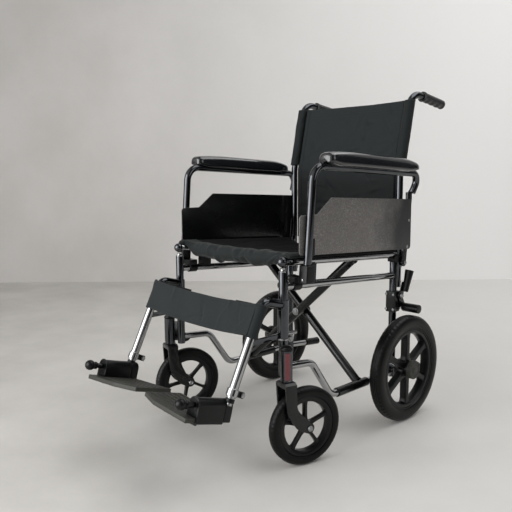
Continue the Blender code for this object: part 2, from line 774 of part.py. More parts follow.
def rear_rim(name, side):
    """Moulded rim: a ring, six broad spokes and a hub with the axle's bore."""
    frame = wheel_frame(side)
    half = RIM_WIDTH / 2
    inner = RIM_R - RIM_DEPTH
    ring = turned(name, [(RIM_R, half), (RIM_R, -half), (inner + 0.004, -half), (inner, 0.0),
                         (inner + 0.004, half)], WHEEL_STEPS, frame, closed=True)
    hub_half = HUB_WIDTH / 2
    hub = rod("hub", frame @ spot(0, 0, -hub_half), frame @ spot(0, 0, hub_half), HUB_R, 20)
    spokes = [spoke(frame, HUB_R * 0.8, inner + 0.006, SPOKE_WIDTH, SPOKE_DEPTH, 2 * pi * i / SPOKES)
              for i in range(SPOKES)]
    bore = rod("bore", frame @ spot(0, 0, -HUB_WIDTH), frame @ spot(0, 0, HUB_WIDTH), fitted(AXLE_R, TURN))
    return bored(joined(ring, hub, *spokes), bore)


def rear_hub_cap(name, side):
    """Round cap over the axle's nut, with a sunk face."""
    frame = wheel_frame(side, HUB_WIDTH / 2 + TOUCH)
    rim = CAP_R
    inner = CAP_R - CAP_WALL
    face = CAP_DEPTH
    profile = [(0, face - 0.0015), (inner - 0.004, face - 0.0015), (inner - 0.003, face), (rim - 0.002, face),
               (rim, face - 0.002), (rim, 0), (inner, 0), (inner, face - 0.0015 - CAP_WALL),
               (0, face - 0.0015 - CAP_WALL)]
    return turned(name, profile, 20, frame)


def rear_axle(name, side):
    """Axle bolt with its head inside the frame and its nut under the hub cap."""
    head_in = boss_start() - TOUCH
    nut_in = WHEEL_X + HUB_WIDTH / 2 + 0.0008
    shank = rod(name, (side * (head_in - 0.001), 0, WHEEL_R), (side * (nut_in + AXLE_HEAD + 0.001), 0, WHEEL_R),
                AXLE_R)
    head = rod("head", (side * (head_in - AXLE_HEAD), 0, WHEEL_R), (side * head_in, 0, WHEEL_R), AXLE_HEAD_R, 6)
    nut = rod("nut", (side * nut_in, 0, WHEEL_R), (side * (nut_in + AXLE_HEAD), 0, WHEEL_R), AXLE_HEAD_R, 6)
    return joined(shank, head, nut)


# Casters

def blade_outline():
    """Curved fork blade in the plane of the trail, from the crown to the axle."""
    eye = 0.0130
    front = CROWN_LENGTH / 2
    low = spot(CASTER_TRAIL, CASTER_R, 0)
    front_edge = rounded([
        (-front, CROWN_Z + 0.001, 0),
        (-front + 0.004, CASTER_R + 0.045, 0),
        (0.018, CASTER_R + 0.001, 0),
        (low.x - 0.004, low.y - eye, 0)], 0.040)
    eye_arc = [low + eye * spot(cos(a), sin(a), 0) for a in (radians(t) for t in (-70, -35, 0, 30, 55))]
    rear_edge = rounded([
        (low.x + eye * cos(radians(70)), low.y + eye * sin(radians(70)), 0),
        (0.0165, CASTER_R + 0.052, 0),
        (front - 0.001, CROWN_Z + 0.001, 0)], 0.035)
    return front_edge + eye_arc + rear_edge


def blade_middle():
    """Middle of a fork blade, from the wheel's plane."""
    return CASTER_WIDTH / 2 + BLADE_GAP + BLADE_THICKNESS / 2


def caster_fork(name, side):
    """Fork with a bridge over the wheel, two curved blades and its stem."""
    frame = caster_frame(side)
    half = blade_middle() + BLADE_THICKNESS / 2
    top = CROWN_Z + CROWN_THICKNESS
    bridge = [(-half, CROWN_Z), (half, CROWN_Z), (half, top - 0.006), (half - 0.008, top),
              (-half + 0.008, top), (-half, top - 0.006)]
    stand = frame @ Matrix.Rotation(pi / 2, 4, "X")
    crown = plate(name, [spot(*p, 0) for p in bridge], CROWN_LENGTH, stand)
    stem = rod("stem", frame @ spot(0, 0, top - 0.002), frame @ spot(0, 0, top + STEM_LENGTH), STEM_R)
    blades = [plate("blade", blade_outline(), BLADE_THICKNESS, frame @ side_plane(sign * blade_middle()))
              for sign in (-1, 1)]
    hole = rod("hole", frame @ spot(-2 * half, CASTER_TRAIL, CASTER_R), frame @ spot(2 * half, CASTER_TRAIL, CASTER_R),
               CASTER_AXLE_R + TOUCH)
    return bored(joined(crown, stem, *blades), hole)


def hub_frame(side):
    """Frame of a caster's wheel: its Z runs along the axle, from the wheel's centre."""
    return caster_frame(side) @ Matrix.Translation((0, CASTER_TRAIL, CASTER_R)) @ Matrix.Rotation(pi / 2, 4, "Y")


def caster_tyre(name, side):
    """Solid tyre of a caster."""
    tread = CASTER_R / cos(pi / CASTER_STEPS)
    seat = CASTER_R - CASTER_TYRE_DEPTH + TOUCH
    half = CASTER_WIDTH / 2
    outer = [(tread, 0.45 * half), (tread - 0.0060, half), (seat, 0.90 * half)]
    profile = [(seat, 0.90 * half)] + outer[1::-1] + [(r, -z) for r, z in outer]
    return turned(name, profile, CASTER_STEPS, hub_frame(side), closed=True)


def caster_rim(name, side):
    """Moulded rim of a caster: a ring, five thin spokes and a hub."""
    frame = hub_frame(side)
    outer = CASTER_R - CASTER_TYRE_DEPTH
    inner = outer - CASTER_RING_DEPTH
    half = CASTER_RING_WIDTH / 2
    ring = turned(name, [(outer, half), (outer, -half), (inner + 0.003, -half), (inner, 0),
                         (inner + 0.003, half)], CASTER_STEPS, frame, closed=True)
    hub = rod("hub", frame @ spot(0, 0, -CASTER_HUB_WIDTH / 2), frame @ spot(0, 0, CASTER_HUB_WIDTH / 2),
              CASTER_HUB_R, 16)
    spokes = [spoke(frame, CASTER_HUB_R * 0.7, inner + 0.005, CASTER_SPOKE_WIDTH, CASTER_SPOKE_DEPTH,
                    pi + CASTER_SPIN[side] + 2 * pi * i / CASTER_SPOKES) for i in range(CASTER_SPOKES)]
    bore = rod("bore", frame @ spot(0, 0, -CASTER_HUB_WIDTH), frame @ spot(0, 0, CASTER_HUB_WIDTH),
               fitted(CASTER_AXLE_R, TURN))
    return bored(joined(ring, hub, *spokes), bore)


def caster_axle(name, side):
    """Bolt through the fork and the caster's hub, with a head and a nut."""
    frame = hub_frame(side)
    face = blade_middle() + BLADE_THICKNESS / 2 + TOUCH
    shank = rod(name, frame @ spot(0, 0, -face - 0.001), frame @ spot(0, 0, face + 0.001), CASTER_AXLE_R)
    heads = [rod("head", frame @ spot(0, 0, sign * face), frame @ spot(0, 0, sign * (face + CASTER_BOLT_HEAD)),
                 CASTER_BOLT_R, sides, 0.8 * CASTER_BOLT_R) for sign, sides in ((1, 12), (-1, 6))]
    return joined(shank, *heads)


# Armrests

def arm_path(side):
    """Centre line of the armrest's tube."""
    x = side * ARM_X
    end_x = side * (BAR_OUT + 0.006)
    front = rounded([spot(x, *ARM_FOOT), spot(x, *ARM_FRONT_TOP), spot(x, *middle_of_arm())], ARM_BEND)
    rear = rounded([spot(x, *middle_of_arm()), spot(x, *ARM_REAR_TOP), spot(end_x, *ARM_REAR_END)],
                   ARM_REAR_BEND, BEND_STEP)
    return front[:-1] + rear[1:]


def middle_of_arm():
    """A place half way along the armrest's top."""
    return ((ARM_FRONT_TOP[0] + ARM_REAR_TOP[0]) / 2, (ARM_FRONT_TOP[1] + ARM_REAR_TOP[1]) / 2)


def arm_frame(name, side):
    """Armrest tube, and the flat bar from its rear end down to the pivot."""
    half = BAR_WIDTH / 2
    top = ARM_REAR_END[1] + 0.004
    outline = [spot(CANE_Y + half * cos(a), ARM_PIVOT_Z + half * sin(a), 0)
               for a in (radians(t) for t in range(150, 391, 30))]
    outline += [spot(ARM_REAR_END[0] + half, PANEL_REAR_TOP_Z, 0), spot(ARM_REAR_END[0] + half, top, 0),
                spot(ARM_REAR_END[0] - half, top, 0), spot(ARM_REAR_END[0] - half, PANEL_REAR_TOP_Z, 0)]
    bar = plate("bar", outline, BAR_THICKNESS, side_plane(side * (BAR_IN + BAR_OUT) / 2))
    hole = rod("hole", (side * (BAR_IN - 0.01), CANE_Y, ARM_PIVOT_Z), (side * (BAR_OUT + 0.01), CANE_Y, ARM_PIVOT_Z),
               fitted(ARM_PIN_R, TURN))
    return bored(joined(tube(name, arm_path(side), ARM_D), bar), hole)


def skirt_panel(name, side):
    """Side panel between the seat and the armrest."""
    outline = rounded_outline([
        (PANEL_SHOULDER_Y, PANEL_TOP_Z), (PANEL_STEP_Y, PANEL_STEP_Z), (PANEL_FRONT_Y, PANEL_STEP_Z),
        (PANEL_FRONT_Y, PANEL_FRONT_FOOT_Z), (PANEL_REAR_Y, PANEL_REAR_FOOT_Z),
        (PANEL_REAR_Y, PANEL_REAR_TOP_Z)], PANEL_CORNER, radians(31))
    return plate(name, outline, PANEL_THICKNESS, side_plane(side * (PANEL_IN + PANEL_OUT) / 2))


def arm_pad(name, side):
    """Moulded pad on the armrest's tube, crowned and rounded at both ends."""
    slope = (ARM_REAR_TOP[1] - ARM_FRONT_TOP[1]) / (ARM_REAR_TOP[0] - ARM_FRONT_TOP[0])
    x = side * (ARM_X + PAD_OUT)
    seat = ARM_D / 2 * sqrt(1 + slope ** 2) + TOUCH
    length = PAD_REAR_Y - PAD_FRONT_Y
    section = [(-0.92, 0.0), (0.92, 0.0), (1.0, 0.16), (1.0, 0.55), (0.88, 0.82), (0.55, 0.96), (0.0, 1.0),
               (-0.55, 0.96), (-0.88, 0.82), (-1.0, 0.55), (-1.0, 0.16)]
    rings = []
    for part in (0.0, 0.012, 0.04, 0.10, 0.25, 0.5, 0.75, 0.90, 0.96, 0.988, 1.0):
        y = PAD_FRONT_Y + length * part
        base = ARM_FRONT_TOP[1] + slope * (y - ARM_FRONT_TOP[0]) + seat
        near = min(part, 1 - part) * length
        nose = sqrt(max(0.0, 1 - max(0.0, 1 - near / PAD_HALF_WIDTH) ** 2))
        width = PAD_HALF_WIDTH * (0.45 + 0.55 * nose)
        height = PAD_HEIGHT * (0.55 + 0.37 * nose + 0.08 * sin(pi * part))
        rings.append([spot(x + width * a, y, base + height * b) for a, b in section])
    return loft(name, rings)


# Brakes

def brake_plate_x():
    """Outer face of the clamp's plate."""
    return FRAME_X + CLAMP_WIDTH / 2 + CLAMP_PLATE


def brake_clamp(name, side):
    """Clamp round the rear post, with the plate and pin that carry lever and shoe."""
    x = side * FRAME_X
    low = 2 * WHEEL_R + CLAMP_RISE
    high = low + CLAMP_HEIGHT
    half = CLAMP_WIDTH / 2
    body = block(name, (x - half, REAR_POST_Y - CLAMP_DEPTH / 2, low), (x + half, REAR_POST_Y + CLAMP_DEPTH / 2, high))
    near = side * (FRAME_X + half - 0.001)
    far = side * brake_plate_x()
    cheek = block("cheek", (min(near, far), REAR_POST_Y - CLAMP_DEPTH / 2, low + 0.012),
                  (max(near, far), REAR_POST_Y - CLAMP_DEPTH / 2 + CLAMP_PLATE_DEPTH, high))
    face = brake_stack()[-1] + TURN
    pin = rod("pin", (far - side * 0.002, BRAKE_PIVOT_Y, BRAKE_PIVOT_Z),
              (side * (face + 0.001), BRAKE_PIVOT_Y, BRAKE_PIVOT_Z), BRAKE_PIN_R)
    head = rod("head", (side * face, BRAKE_PIVOT_Y, BRAKE_PIVOT_Z),
               (side * (face + BRAKE_PIN_HEAD), BRAKE_PIVOT_Y, BRAKE_PIVOT_Z), BRAKE_PIN_HEAD_R, 8)
    bore = rod("bore", (x, REAR_POST_Y, low - 0.01), (x, REAR_POST_Y, high + 0.01), REAR_POST_D / 2 + TOUCH)
    return bored(joined(body, cheek, pin, head), bore)


def brake_stack():
    """Faces of the shoe's arm and of the lever's plate, from the clamp outwards."""
    shoe_in = brake_plate_x() + TURN
    shoe_out = shoe_in + SHOE_PLATE
    lever_in = shoe_out + TURN
    return shoe_in, shoe_out, lever_in, lever_in + BRAKE_LEVER_PLATE


def link_outline(start, end, start_r, end_r):
    """Outline round two circles, for a flat link."""
    along = atan2(end[1] - start[1], end[0] - start[0])
    outline = []
    for centre, radius, first in ((end, end_r, along - pi / 2), (start, start_r, along + pi / 2)):
        for k in range(7):
            angle = first + pi * k / 6
            outline.append(spot(centre[0] + radius * cos(angle), centre[1] + radius * sin(angle), 0))
    return outline


def pivot_hole(side):
    """Bore for the brake's pin, through lever and shoe."""
    return rod("hole", (side * (brake_plate_x() - 0.01), BRAKE_PIVOT_Y, BRAKE_PIVOT_Z),
               (side * (brake_plate_x() + 0.03), BRAKE_PIVOT_Y, BRAKE_PIVOT_Z), fitted(BRAKE_PIN_R, TURN))


def brake_shoe(name, side):
    """Arm on the brake's pin with the round bar that presses on the tyre."""
    inner, outer = brake_stack()[:2]
    arm = plate(name, link_outline((BRAKE_PIVOT_Y, BRAKE_PIVOT_Z), (SHOE_Y, SHOE_Z), 0.009, 0.010),
                SHOE_PLATE, side_plane(side * (inner + outer) / 2))
    bar = rod("bar", (side * (outer - 0.001), SHOE_Y, SHOE_Z), (side * (outer + SHOE_LENGTH), SHOE_Y, SHOE_Z),
              SHOE_D / 2, 14)
    return bored(joined(arm, bar), pivot_hole(side))


def brake_lever(name, side):
    """Brake lever: a flat foot on the pin and a round sleeve to push."""
    inner, outer = brake_stack()[2:]
    along = spot(0, sin(BRAKE_LEVER_TILT), cos(BRAKE_LEVER_TILT))
    pivot = spot(0, BRAKE_PIVOT_Y, BRAKE_PIVOT_Z)
    sleeve_start = pivot + along * BRAKE_SLEEVE_START
    sleeve_end = pivot + along * BRAKE_LEVER_LENGTH
    foot = plate(name, link_outline((BRAKE_PIVOT_Y, BRAKE_PIVOT_Z), (sleeve_start.y + along.y * 0.02,
                 sleeve_start.z + along.z * 0.02), 0.010, 0.008),
                 BRAKE_LEVER_PLATE, side_plane(side * (inner + outer) / 2))
    x = spot(side * (inner + BRAKE_LEVER_D / 2), 0, 0)
    sleeve = rod("sleeve", x + sleeve_start, x + sleeve_end, BRAKE_LEVER_D / 2 - 0.001, 14, BRAKE_LEVER_D / 2)
    return bored(joined(foot, sleeve), pivot_hole(side))


# Legrests

def legrest_hanger(name, side):
    """Sleeve on the front post with the bent down-tube and its lower bar."""
    x = side * FRAME_X
    top = HANGER_FOOT_Z + HANGER_HEIGHT
    sleeve = rod(name, (x, FRONT_POST_Y, HANGER_FOOT_Z), (x, FRONT_POST_Y, top), HANGER_D / 2)
    start_z = top - LEG_TUBE_D / 2 - 0.001
    tube_path = rounded([spot(x, FRONT_POST_Y, start_z), spot(side * LEG_X, *LEG_TOP), leg_foot(side)], LEG_ELBOW)
    arm = tube("arm", tube_path, LEG_TUBE_D)
    low = HANGER_FOOT_Z
    high = low + LEG_BAR_HEIGHT
    bar_y = LEG_TOP[0] - (LEG_TOP[1] - low) * tan(LEG_TILT)
    half = LEG_BAR_THICKNESS / 2
    bar = block("bar", (side * LEG_X - half, bar_y, low), (side * LEG_X + half, FRONT_POST_Y, high))
    bore = rod("bore", (x, FRONT_POST_Y, low - 0.01), (x, FRONT_POST_Y, top + 0.02),
               fitted(FRONT_POST_D / 2, TURN))
    frame = leg_frame(side)
    inner = rod("inner", frame @ spot(0, 0, -0.02), frame @ spot(0, 0, INNER_TUBE_IN + 0.002),
                fitted(INNER_TUBE_D / 2, TURN))
    return bored(joined(sleeve, arm, bar), bore, inner)


def leg_clamp(name, side):
    """Clamp round the down-tube's end, with its ear and bolt behind the tube."""
    frame = leg_frame(side)
    low = LEG_CLAMP_UP
    high = low + LEG_CLAMP_HEIGHT
    middle = (low + high) / 2
    ring = rod(name, frame @ spot(0, 0, low), frame @ spot(0, 0, high), LEG_CLAMP_D / 2)
    ear = block("ear", (-0.004, 0, low + 0.001), (0.004, LEG_CLAMP_EAR + 0.006, high - 0.001), frame)
    bolt = rod("bolt", frame @ spot(-0.010, LEG_CLAMP_EAR, middle), frame @ spot(0.010, LEG_CLAMP_EAR, middle),
               0.0055, 8)
    bore = rod("bore", frame @ spot(0, 0, -0.01), frame @ spot(0, 0, high + 0.01), LEG_TUBE_D / 2 + TOUCH)
    return bored(joined(ring, ear, bolt), bore)


def barrel_outline(half, foot):
    """Section of a barrel: round above its axis, flat-sided down to its foot."""
    outline = [spot(half * cos(a), half * sin(a), 0) for a in (radians(t) for t in range(0, 181, 20))]
    return outline + [spot(-half, -foot, 0), spot(half, -foot, 0)]


def across_axis(side, y):
    """Frame in the plane square to the flip axis at the distance y from the ball."""
    return flip_frame(side) @ Matrix.Translation((0, y, 0)) @ Matrix.Rotation(pi / 2, 4, "X")


def leg_extension(name, side):
    """Inner tube of the legrest, its elbow block and the rod under the footplate."""
    leg = leg_frame(side)
    flip = flip_frame(side)
    start = BARREL_START + BARREL_LENGTH + 2 * TURN
    block_middle = start + ELBOW_LENGTH / 2
    inner = rod("inner", leg @ spot(0, 0, INNER_TUBE_IN), leg @ spot(0, 0, -0.018), INNER_TUBE_D / 2)
    elbow = plate(name, barrel_outline(ELBOW_HALF, ELBOW_HALF), ELBOW_LENGTH, across_axis(side, block_middle))
    boss = rod("boss", leg @ spot(0, 0, -0.0015), leg @ spot(0, 0, -0.012), LEG_TUBE_D / 2)
    shaft = rod("shaft", flip @ spot(0, 0.004 + BALL_R * 0.6, 0), flip @ spot(0, block_middle, 0), ROD_D / 2)
    return joined(elbow, inner, boss, shaft)


def rod_ball(name, side):
    """Ball cap on the rod's front end."""
    flip = flip_frame(side)
    head = ball(name, (0, 0, 0), BALL_R)
    head.data.transform(flip)
    neck = rod("neck", flip @ spot(0, 0, 0), flip @ spot(0, BALL_R + 0.005, 0), BALL_R * 0.72)
    hole = rod("hole", flip @ spot(0, 0.004 + BALL_R * 0.6 - TOUCH, 0), flip @ spot(0, 0.05, 0), ROD_D / 2 + TOUCH)
    return bored(joined(head, neck), hole)


def footplate(name, side):
    """Ribbed footplate with the barrel that turns on the legrest's rod."""
    flip = flip_frame(side)
    camber = flip @ Matrix.Rotation(side * PLATE_CAMBER, 4, "Y")
    inner = -side * (FLIP_X - PLATE_HALF_GAP)
    outer = side * BARREL_HALF
    corner = -side * PLATE_CORNER_X
    outline = [(outer, PLATE_FRONT), (corner, PLATE_FRONT), (inner, PLATE_INNER_FRONT),
               (inner, PLATE_REAR), (-side * (BARREL_HALF + 0.010), PLATE_REAR - 0.008),
               (-side * (BARREL_HALF + 0.002), PLATE_OUTER_REAR), (outer, PLATE_OUTER_REAR)]
    middle = -PLATE_DROP - PLATE_THICKNESS / 2
    slab = plate(name, [spot(*p, 0) for p in outline], PLATE_THICKNESS, camber @ Matrix.Translation((0, 0, middle)))
    low = -PLATE_DROP - PLATE_THICKNESS
    wedge = rod("wedge", camber @ spot(inner, 0, low), camber @ spot(inner, PLATE_REAR * 1.3, low),
                PLATE_CHAMFER * sqrt(2), 4, turn=0.0)
    ribs = []
    start = PLATE_INNER_FRONT + 0.010
    step = (PLATE_OUTER_REAR + 0.020 - start) / (RIBS - 1)
    for i in range(RIBS):
        y = start + step * i
        near = -side * (BARREL_HALF + 0.008)
        far = inner + side * 0.008
        ribs.append(block("rib", (min(near, far), y - RIB_WIDTH / 2, -PLATE_DROP - 0.001),
                          (max(near, far), y + RIB_WIDTH / 2, -PLATE_DROP + RIB_HEIGHT), camber))
    barrel = plate("barrel", barrel_outline(BARREL_HALF, BARREL_FOOT), BARREL_LENGTH, across_axis(side, BARREL_START + BARREL_LENGTH / 2))
    flange = plate("flange", barrel_outline(BARREL_HALF + FLANGE_LIP, BARREL_FOOT + FLANGE_LIP), FLANGE, across_axis(side, BARREL_START + FLANGE / 2))
    bore = rod("bore", flip @ spot(0, BARREL_START - 0.01, 0), flip @ spot(0, BARREL_START + BARREL_LENGTH + 0.01, 0),
               fitted(ROD_D / 2, TURN))
    return bored(joined(slab, barrel, flange, *ribs), wedge, bore)


# Scissor brace

def brace(name, seat_side, y):
    """Brace tube with its sleeve on one lower rail and the seat rail of the other side."""
    foot_x = -seat_side * FRAME_X
    top_x = seat_side * FRAME_X
    foot = spot(foot_x, y, LOWER_RAIL_Z)
    top = spot(top_x, y, seat_rail_z(y))
    diagonal = tube(name, [foot, top - (top - foot).normalized() * BRACE_SHORT], BRACE_D)
    away = 1 if y < BRACE_Y else -1
    near = y - away * (BRACE_D / 2 + SLEEVE_LAP)
    far = near + away * SLEEVE_LENGTH
    sleeve = tube("sleeve", [spot(foot_x, near, LOWER_RAIL_Z), spot(foot_x, far, LOWER_RAIL_Z)], BRACE_SLEEVE_D)
    rail = tube("rail", [spot(top_x, SEAT_RAIL_FRONT_Y, seat_rail_z(SEAT_RAIL_FRONT_Y)),
                         spot(top_x, SEAT_RAIL_REAR_Y, seat_rail_z(SEAT_RAIL_REAR_Y))], SEAT_RAIL_D)
    bore = rod("bore", (foot_x, y - SLEEVE_LENGTH, LOWER_RAIL_Z), (foot_x, y + SLEEVE_LENGTH, LOWER_RAIL_Z),
               fitted(RAIL_D / 2, TURN))
    hole = rod("hole", (0, y - BRACE_D, BRACE_CENTRE_Z), (0, y + BRACE_D, BRACE_CENTRE_Z),
               fitted(BRACE_BOLT_R, TURN))
    return bored(joined(diagonal, sleeve, rail), bore, hole)


def brace_bolt(name):
    """Bolt through both brace tubes, with a washer between them."""
    reach = BRACE_STEP + BRACE_D / 2 + TOUCH
    z = BRACE_CENTRE_Z
    shank = rod(name, (0, BRACE_Y - reach - 0.001, z), (0, BRACE_Y + reach + 0.001, z), BRACE_BOLT_R)
    head = rod("head", (0, BRACE_Y - reach - BRACE_BOLT_HEAD, z), (0, BRACE_Y - reach, z), BRACE_BOLT_HEAD_R, 6)
    nut = rod("nut", (0, BRACE_Y + reach, z), (0, BRACE_Y + reach + BRACE_BOLT_HEAD, z), BRACE_BOLT_HEAD_R, 6)
    half = BRACE_SPACER / 2 - TOUCH
    washer = rod("washer", (0, BRACE_Y - half, z), (0, BRACE_Y + half, z), BRACE_BOLT_HEAD_R)
    return joined(shank, head, nut, washer)


def rail_cap(name, side):
    """Ball cap on the front end of a seat rail."""
    x = side * FRAME_X
    front = spot(x, SEAT_RAIL_FRONT_Y, seat_rail_z(SEAT_RAIL_FRONT_Y))
    back = spot(x, SEAT_RAIL_REAR_Y, seat_rail_z(SEAT_RAIL_REAR_Y))
    along = (back - front).normalized()
    head = ball(name, front - along * 0.001, RAIL_CAP_R)
    return bored(head, tube("cut", [front - along * TOUCH, back], SEAT_RAIL_D + 2 * TOUCH))


# Cloth

def sheet(name, place, across, along, thickness):
    """A thin closed sheet; place(s, t, lift) gives its skin for s and t from 0 to 1."""
    solid = bmesh.new()
    skins = []
    for lift in (thickness, 0.0):
        skins.append([[solid.verts.new(place(i / across, j / along, lift)) for j in range(along + 1)]
                      for i in range(across + 1)])
    for i in range(across):
        for j in range(along):
            for skin in skins:
                solid.faces.new((skin[i][j], skin[i + 1][j], skin[i + 1][j + 1], skin[i][j + 1]))
    top, under = skins
    rim = [(i, 0) for i in range(across)] + [(across, j) for j in range(along)]
    rim += [(i, along) for i in range(across, 0, -1)] + [(0, j) for j in range(along, 0, -1)]
    for (i, j), (k, m) in zip(rim, rim[1:] + rim[:1]):
        solid.faces.new((top[i][j], top[k][m], under[k][m], under[i][j]))
    bmesh.ops.recalc_face_normals(solid, faces=solid.faces)
    return from_bmesh(name, solid)


def seat_place(s, t, lift):
    """Seat cloth: round the outside of one rail, sagging across to the other, with its main folds."""
    front = SEAT_RAIL_FRONT_Y + SEAT_FRONT_IN
    back = SEAT_RAIL_REAR_Y - SEAT_REAR_IN
    y = front + (back - front) * t
    rail_z = seat_rail_z(y)
    radius = SEAT_RAIL_D / 2 + SEAT_EASE
    leave = atan2(4 * SEAT_SAG, 2 * FRAME_X)
    on_rail = min(s, 1 - s) / SEAT_WRAP_PART
    if on_rail < 1:
        side = 1 if s > 0.5 else -1
        angle = -SEAT_WRAP + (SEAT_WRAP + leave) * on_rail
        reach = radius + lift
        return spot(side * (FRAME_X - reach * sin(angle)), y, rail_z + reach * cos(angle))
    across = (s - SEAT_WRAP_PART) / (1 - 2 * SEAT_WRAP_PART)
    slack = 1 - (2 * across - 1) ** 2
    tilt = leave * (1 - 2 * across)
    x = (FRAME_X - radius * sin(leave)) * (2 * across - 1)
    hang = SEAT_SAG * slack + SEAT_DROOP * (1 - t) ** 6 * slack
    folds = SEAT_FOLD * sin(7 * pi * across + 2.5 * t) * slack * (0.4 + 0.6 * (1 - t) ** 2)
    creases = 0.5 * SEAT_FOLD * sin(5 * pi * t + 5 * across) * slack
    z = rail_z + radius * cos(leave) - hang + folds + creases
    return spot(x + lift * sin(tilt), y, z + lift * cos(tilt))


def seat_sling(name):
    """Seat cloth between the two seat rails."""
    return sheet(name, seat_place, 24, 11, SEAT_CLOTH)


def cane_y(z):
    """Y of the back cane's axis at a height."""
    return CANE_Y + max(0.0, z - CANE_LEAN_Z) * tan(CANE_LEAN)


def back_place(s, t, lift):
    """Back cloth: bowed back between the canes, with slanting folds."""
    z = BACK_FOOT_Z + (BACK_TOP_Z - BACK_FOOT_Z) * t
    half = FRAME_X - CANE_D / 2 - 0.0025
    x = half * (2 * s - 1)
    slack = 1 - (2 * s - 1) ** 2
    dip = 0.008 * slack * t ** 8
    folds = 0.0028 * sin(5 * pi * s + 4 * t) * slack * (0.4 + 0.6 * t)
    puckers = 0.0016 * sin(6 * pi * t + 3 * s) * slack
    return spot(x, cane_y(z) + BACK_SAG * slack ** 0.9 + folds + puckers + lift - BACK_CLOTH / 2, z - dip)


def back_sling(name):
    """Back cloth with the sleeves that slip over the two canes."""
    cloth = sheet(name, back_place, 16, 14, BACK_CLOTH)
    sleeves = []
    holes = []
    for side in (-1, 1):
        x = side * FRAME_X
        low = BACK_SLEEVE_FOOT_Z
        sleeves.append(tube("sleeve", [spot(x, cane_y(low), low), spot(x, cane_y(BACK_TOP_Z), BACK_TOP_Z)],
                            BACK_SLEEVE_D))
        holes.append(tube("hole", cane_path(side)[1:], CANE_D + 0.0016))
    return bored(joined(cloth, *sleeves), *holes)


def strap_frame():
    """Frame of the calf strap: between the down-tubes, its Z runs up along them."""
    middle = spot(0, *LEG_TOP) + leg_direction() * (STRAP_TOP + STRAP_HEIGHT / 2)
    return Matrix.Translation(middle) @ Matrix.Rotation(-LEG_TILT, 4, "X")


def calf_strap(name):
    """Calf strap with its end loops round the two down-tubes."""
    frame = strap_frame()
    front = -(STRAP_LOOP_D + STRAP_CLOTH) / 2 + STRAP_CLOTH

    def place(s, t, lift):
        slack = 1 - (2 * s - 1) ** 2
        bulge = STRAP_BULGE * slack + 0.0016 * sin(6 * pi * s + 2 * t) * slack
        z = STRAP_HEIGHT * (t - 0.5) - 0.004 * slack * (1 - t)
        return frame @ spot(LEG_X * (2 * s - 1), front + bulge - lift, z)

    band = sheet(name, place, 16, 4, STRAP_CLOTH)
    loops = []
    holes = []
    for side in (-1, 1):
        low = frame @ spot(side * LEG_X, 0, -STRAP_HEIGHT / 2)
        high = frame @ spot(side * LEG_X, 0, STRAP_HEIGHT / 2)
        loops.append(rod("loop", low, high, STRAP_LOOP_D / 2))
        reach = (high - low).normalized() * 0.02
        holes.append(rod("hole", low - reach, high + reach, LEG_TUBE_D / 2 + 0.0010))
    return bored(joined(band, *loops), *holes)


# Assembly

def empty(name, parent, place, frame_turn=None):
    """An empty on a joint's axis; place is in chair coordinates."""
    pivot = bpy.data.objects.new(name, None)
    pivot.empty_display_size = 0.03
    COLLECTION.objects.link(pivot)
    seat = Matrix.Translation(place) @ (frame_turn or Matrix())
    PIVOTS[name] = seat
    if parent:
        pivot.parent = bpy.data.objects[parent]
        pivot.matrix_local = PIVOTS[parent].inverted() @ seat
    else:
        pivot.matrix_local = Matrix.Translation((0, CENTRE_Y, 0)) @ seat
    return pivot


def hang(obj, pivot, material, smooth=radians(35)):
    """Hangs a finished piece on a pivot and paints it."""
    COLLECTION.objects.link(obj)
    obj.data.name = obj.name
    obj.data.transform(PIVOTS[pivot].inverted())
    obj.data.shade_smooth()
    obj.data.set_sharp_from_angle(angle=smooth)
    obj.data.materials.clear()
    obj.data.materials.append(paint(material))
    obj.parent = bpy.data.objects[pivot]


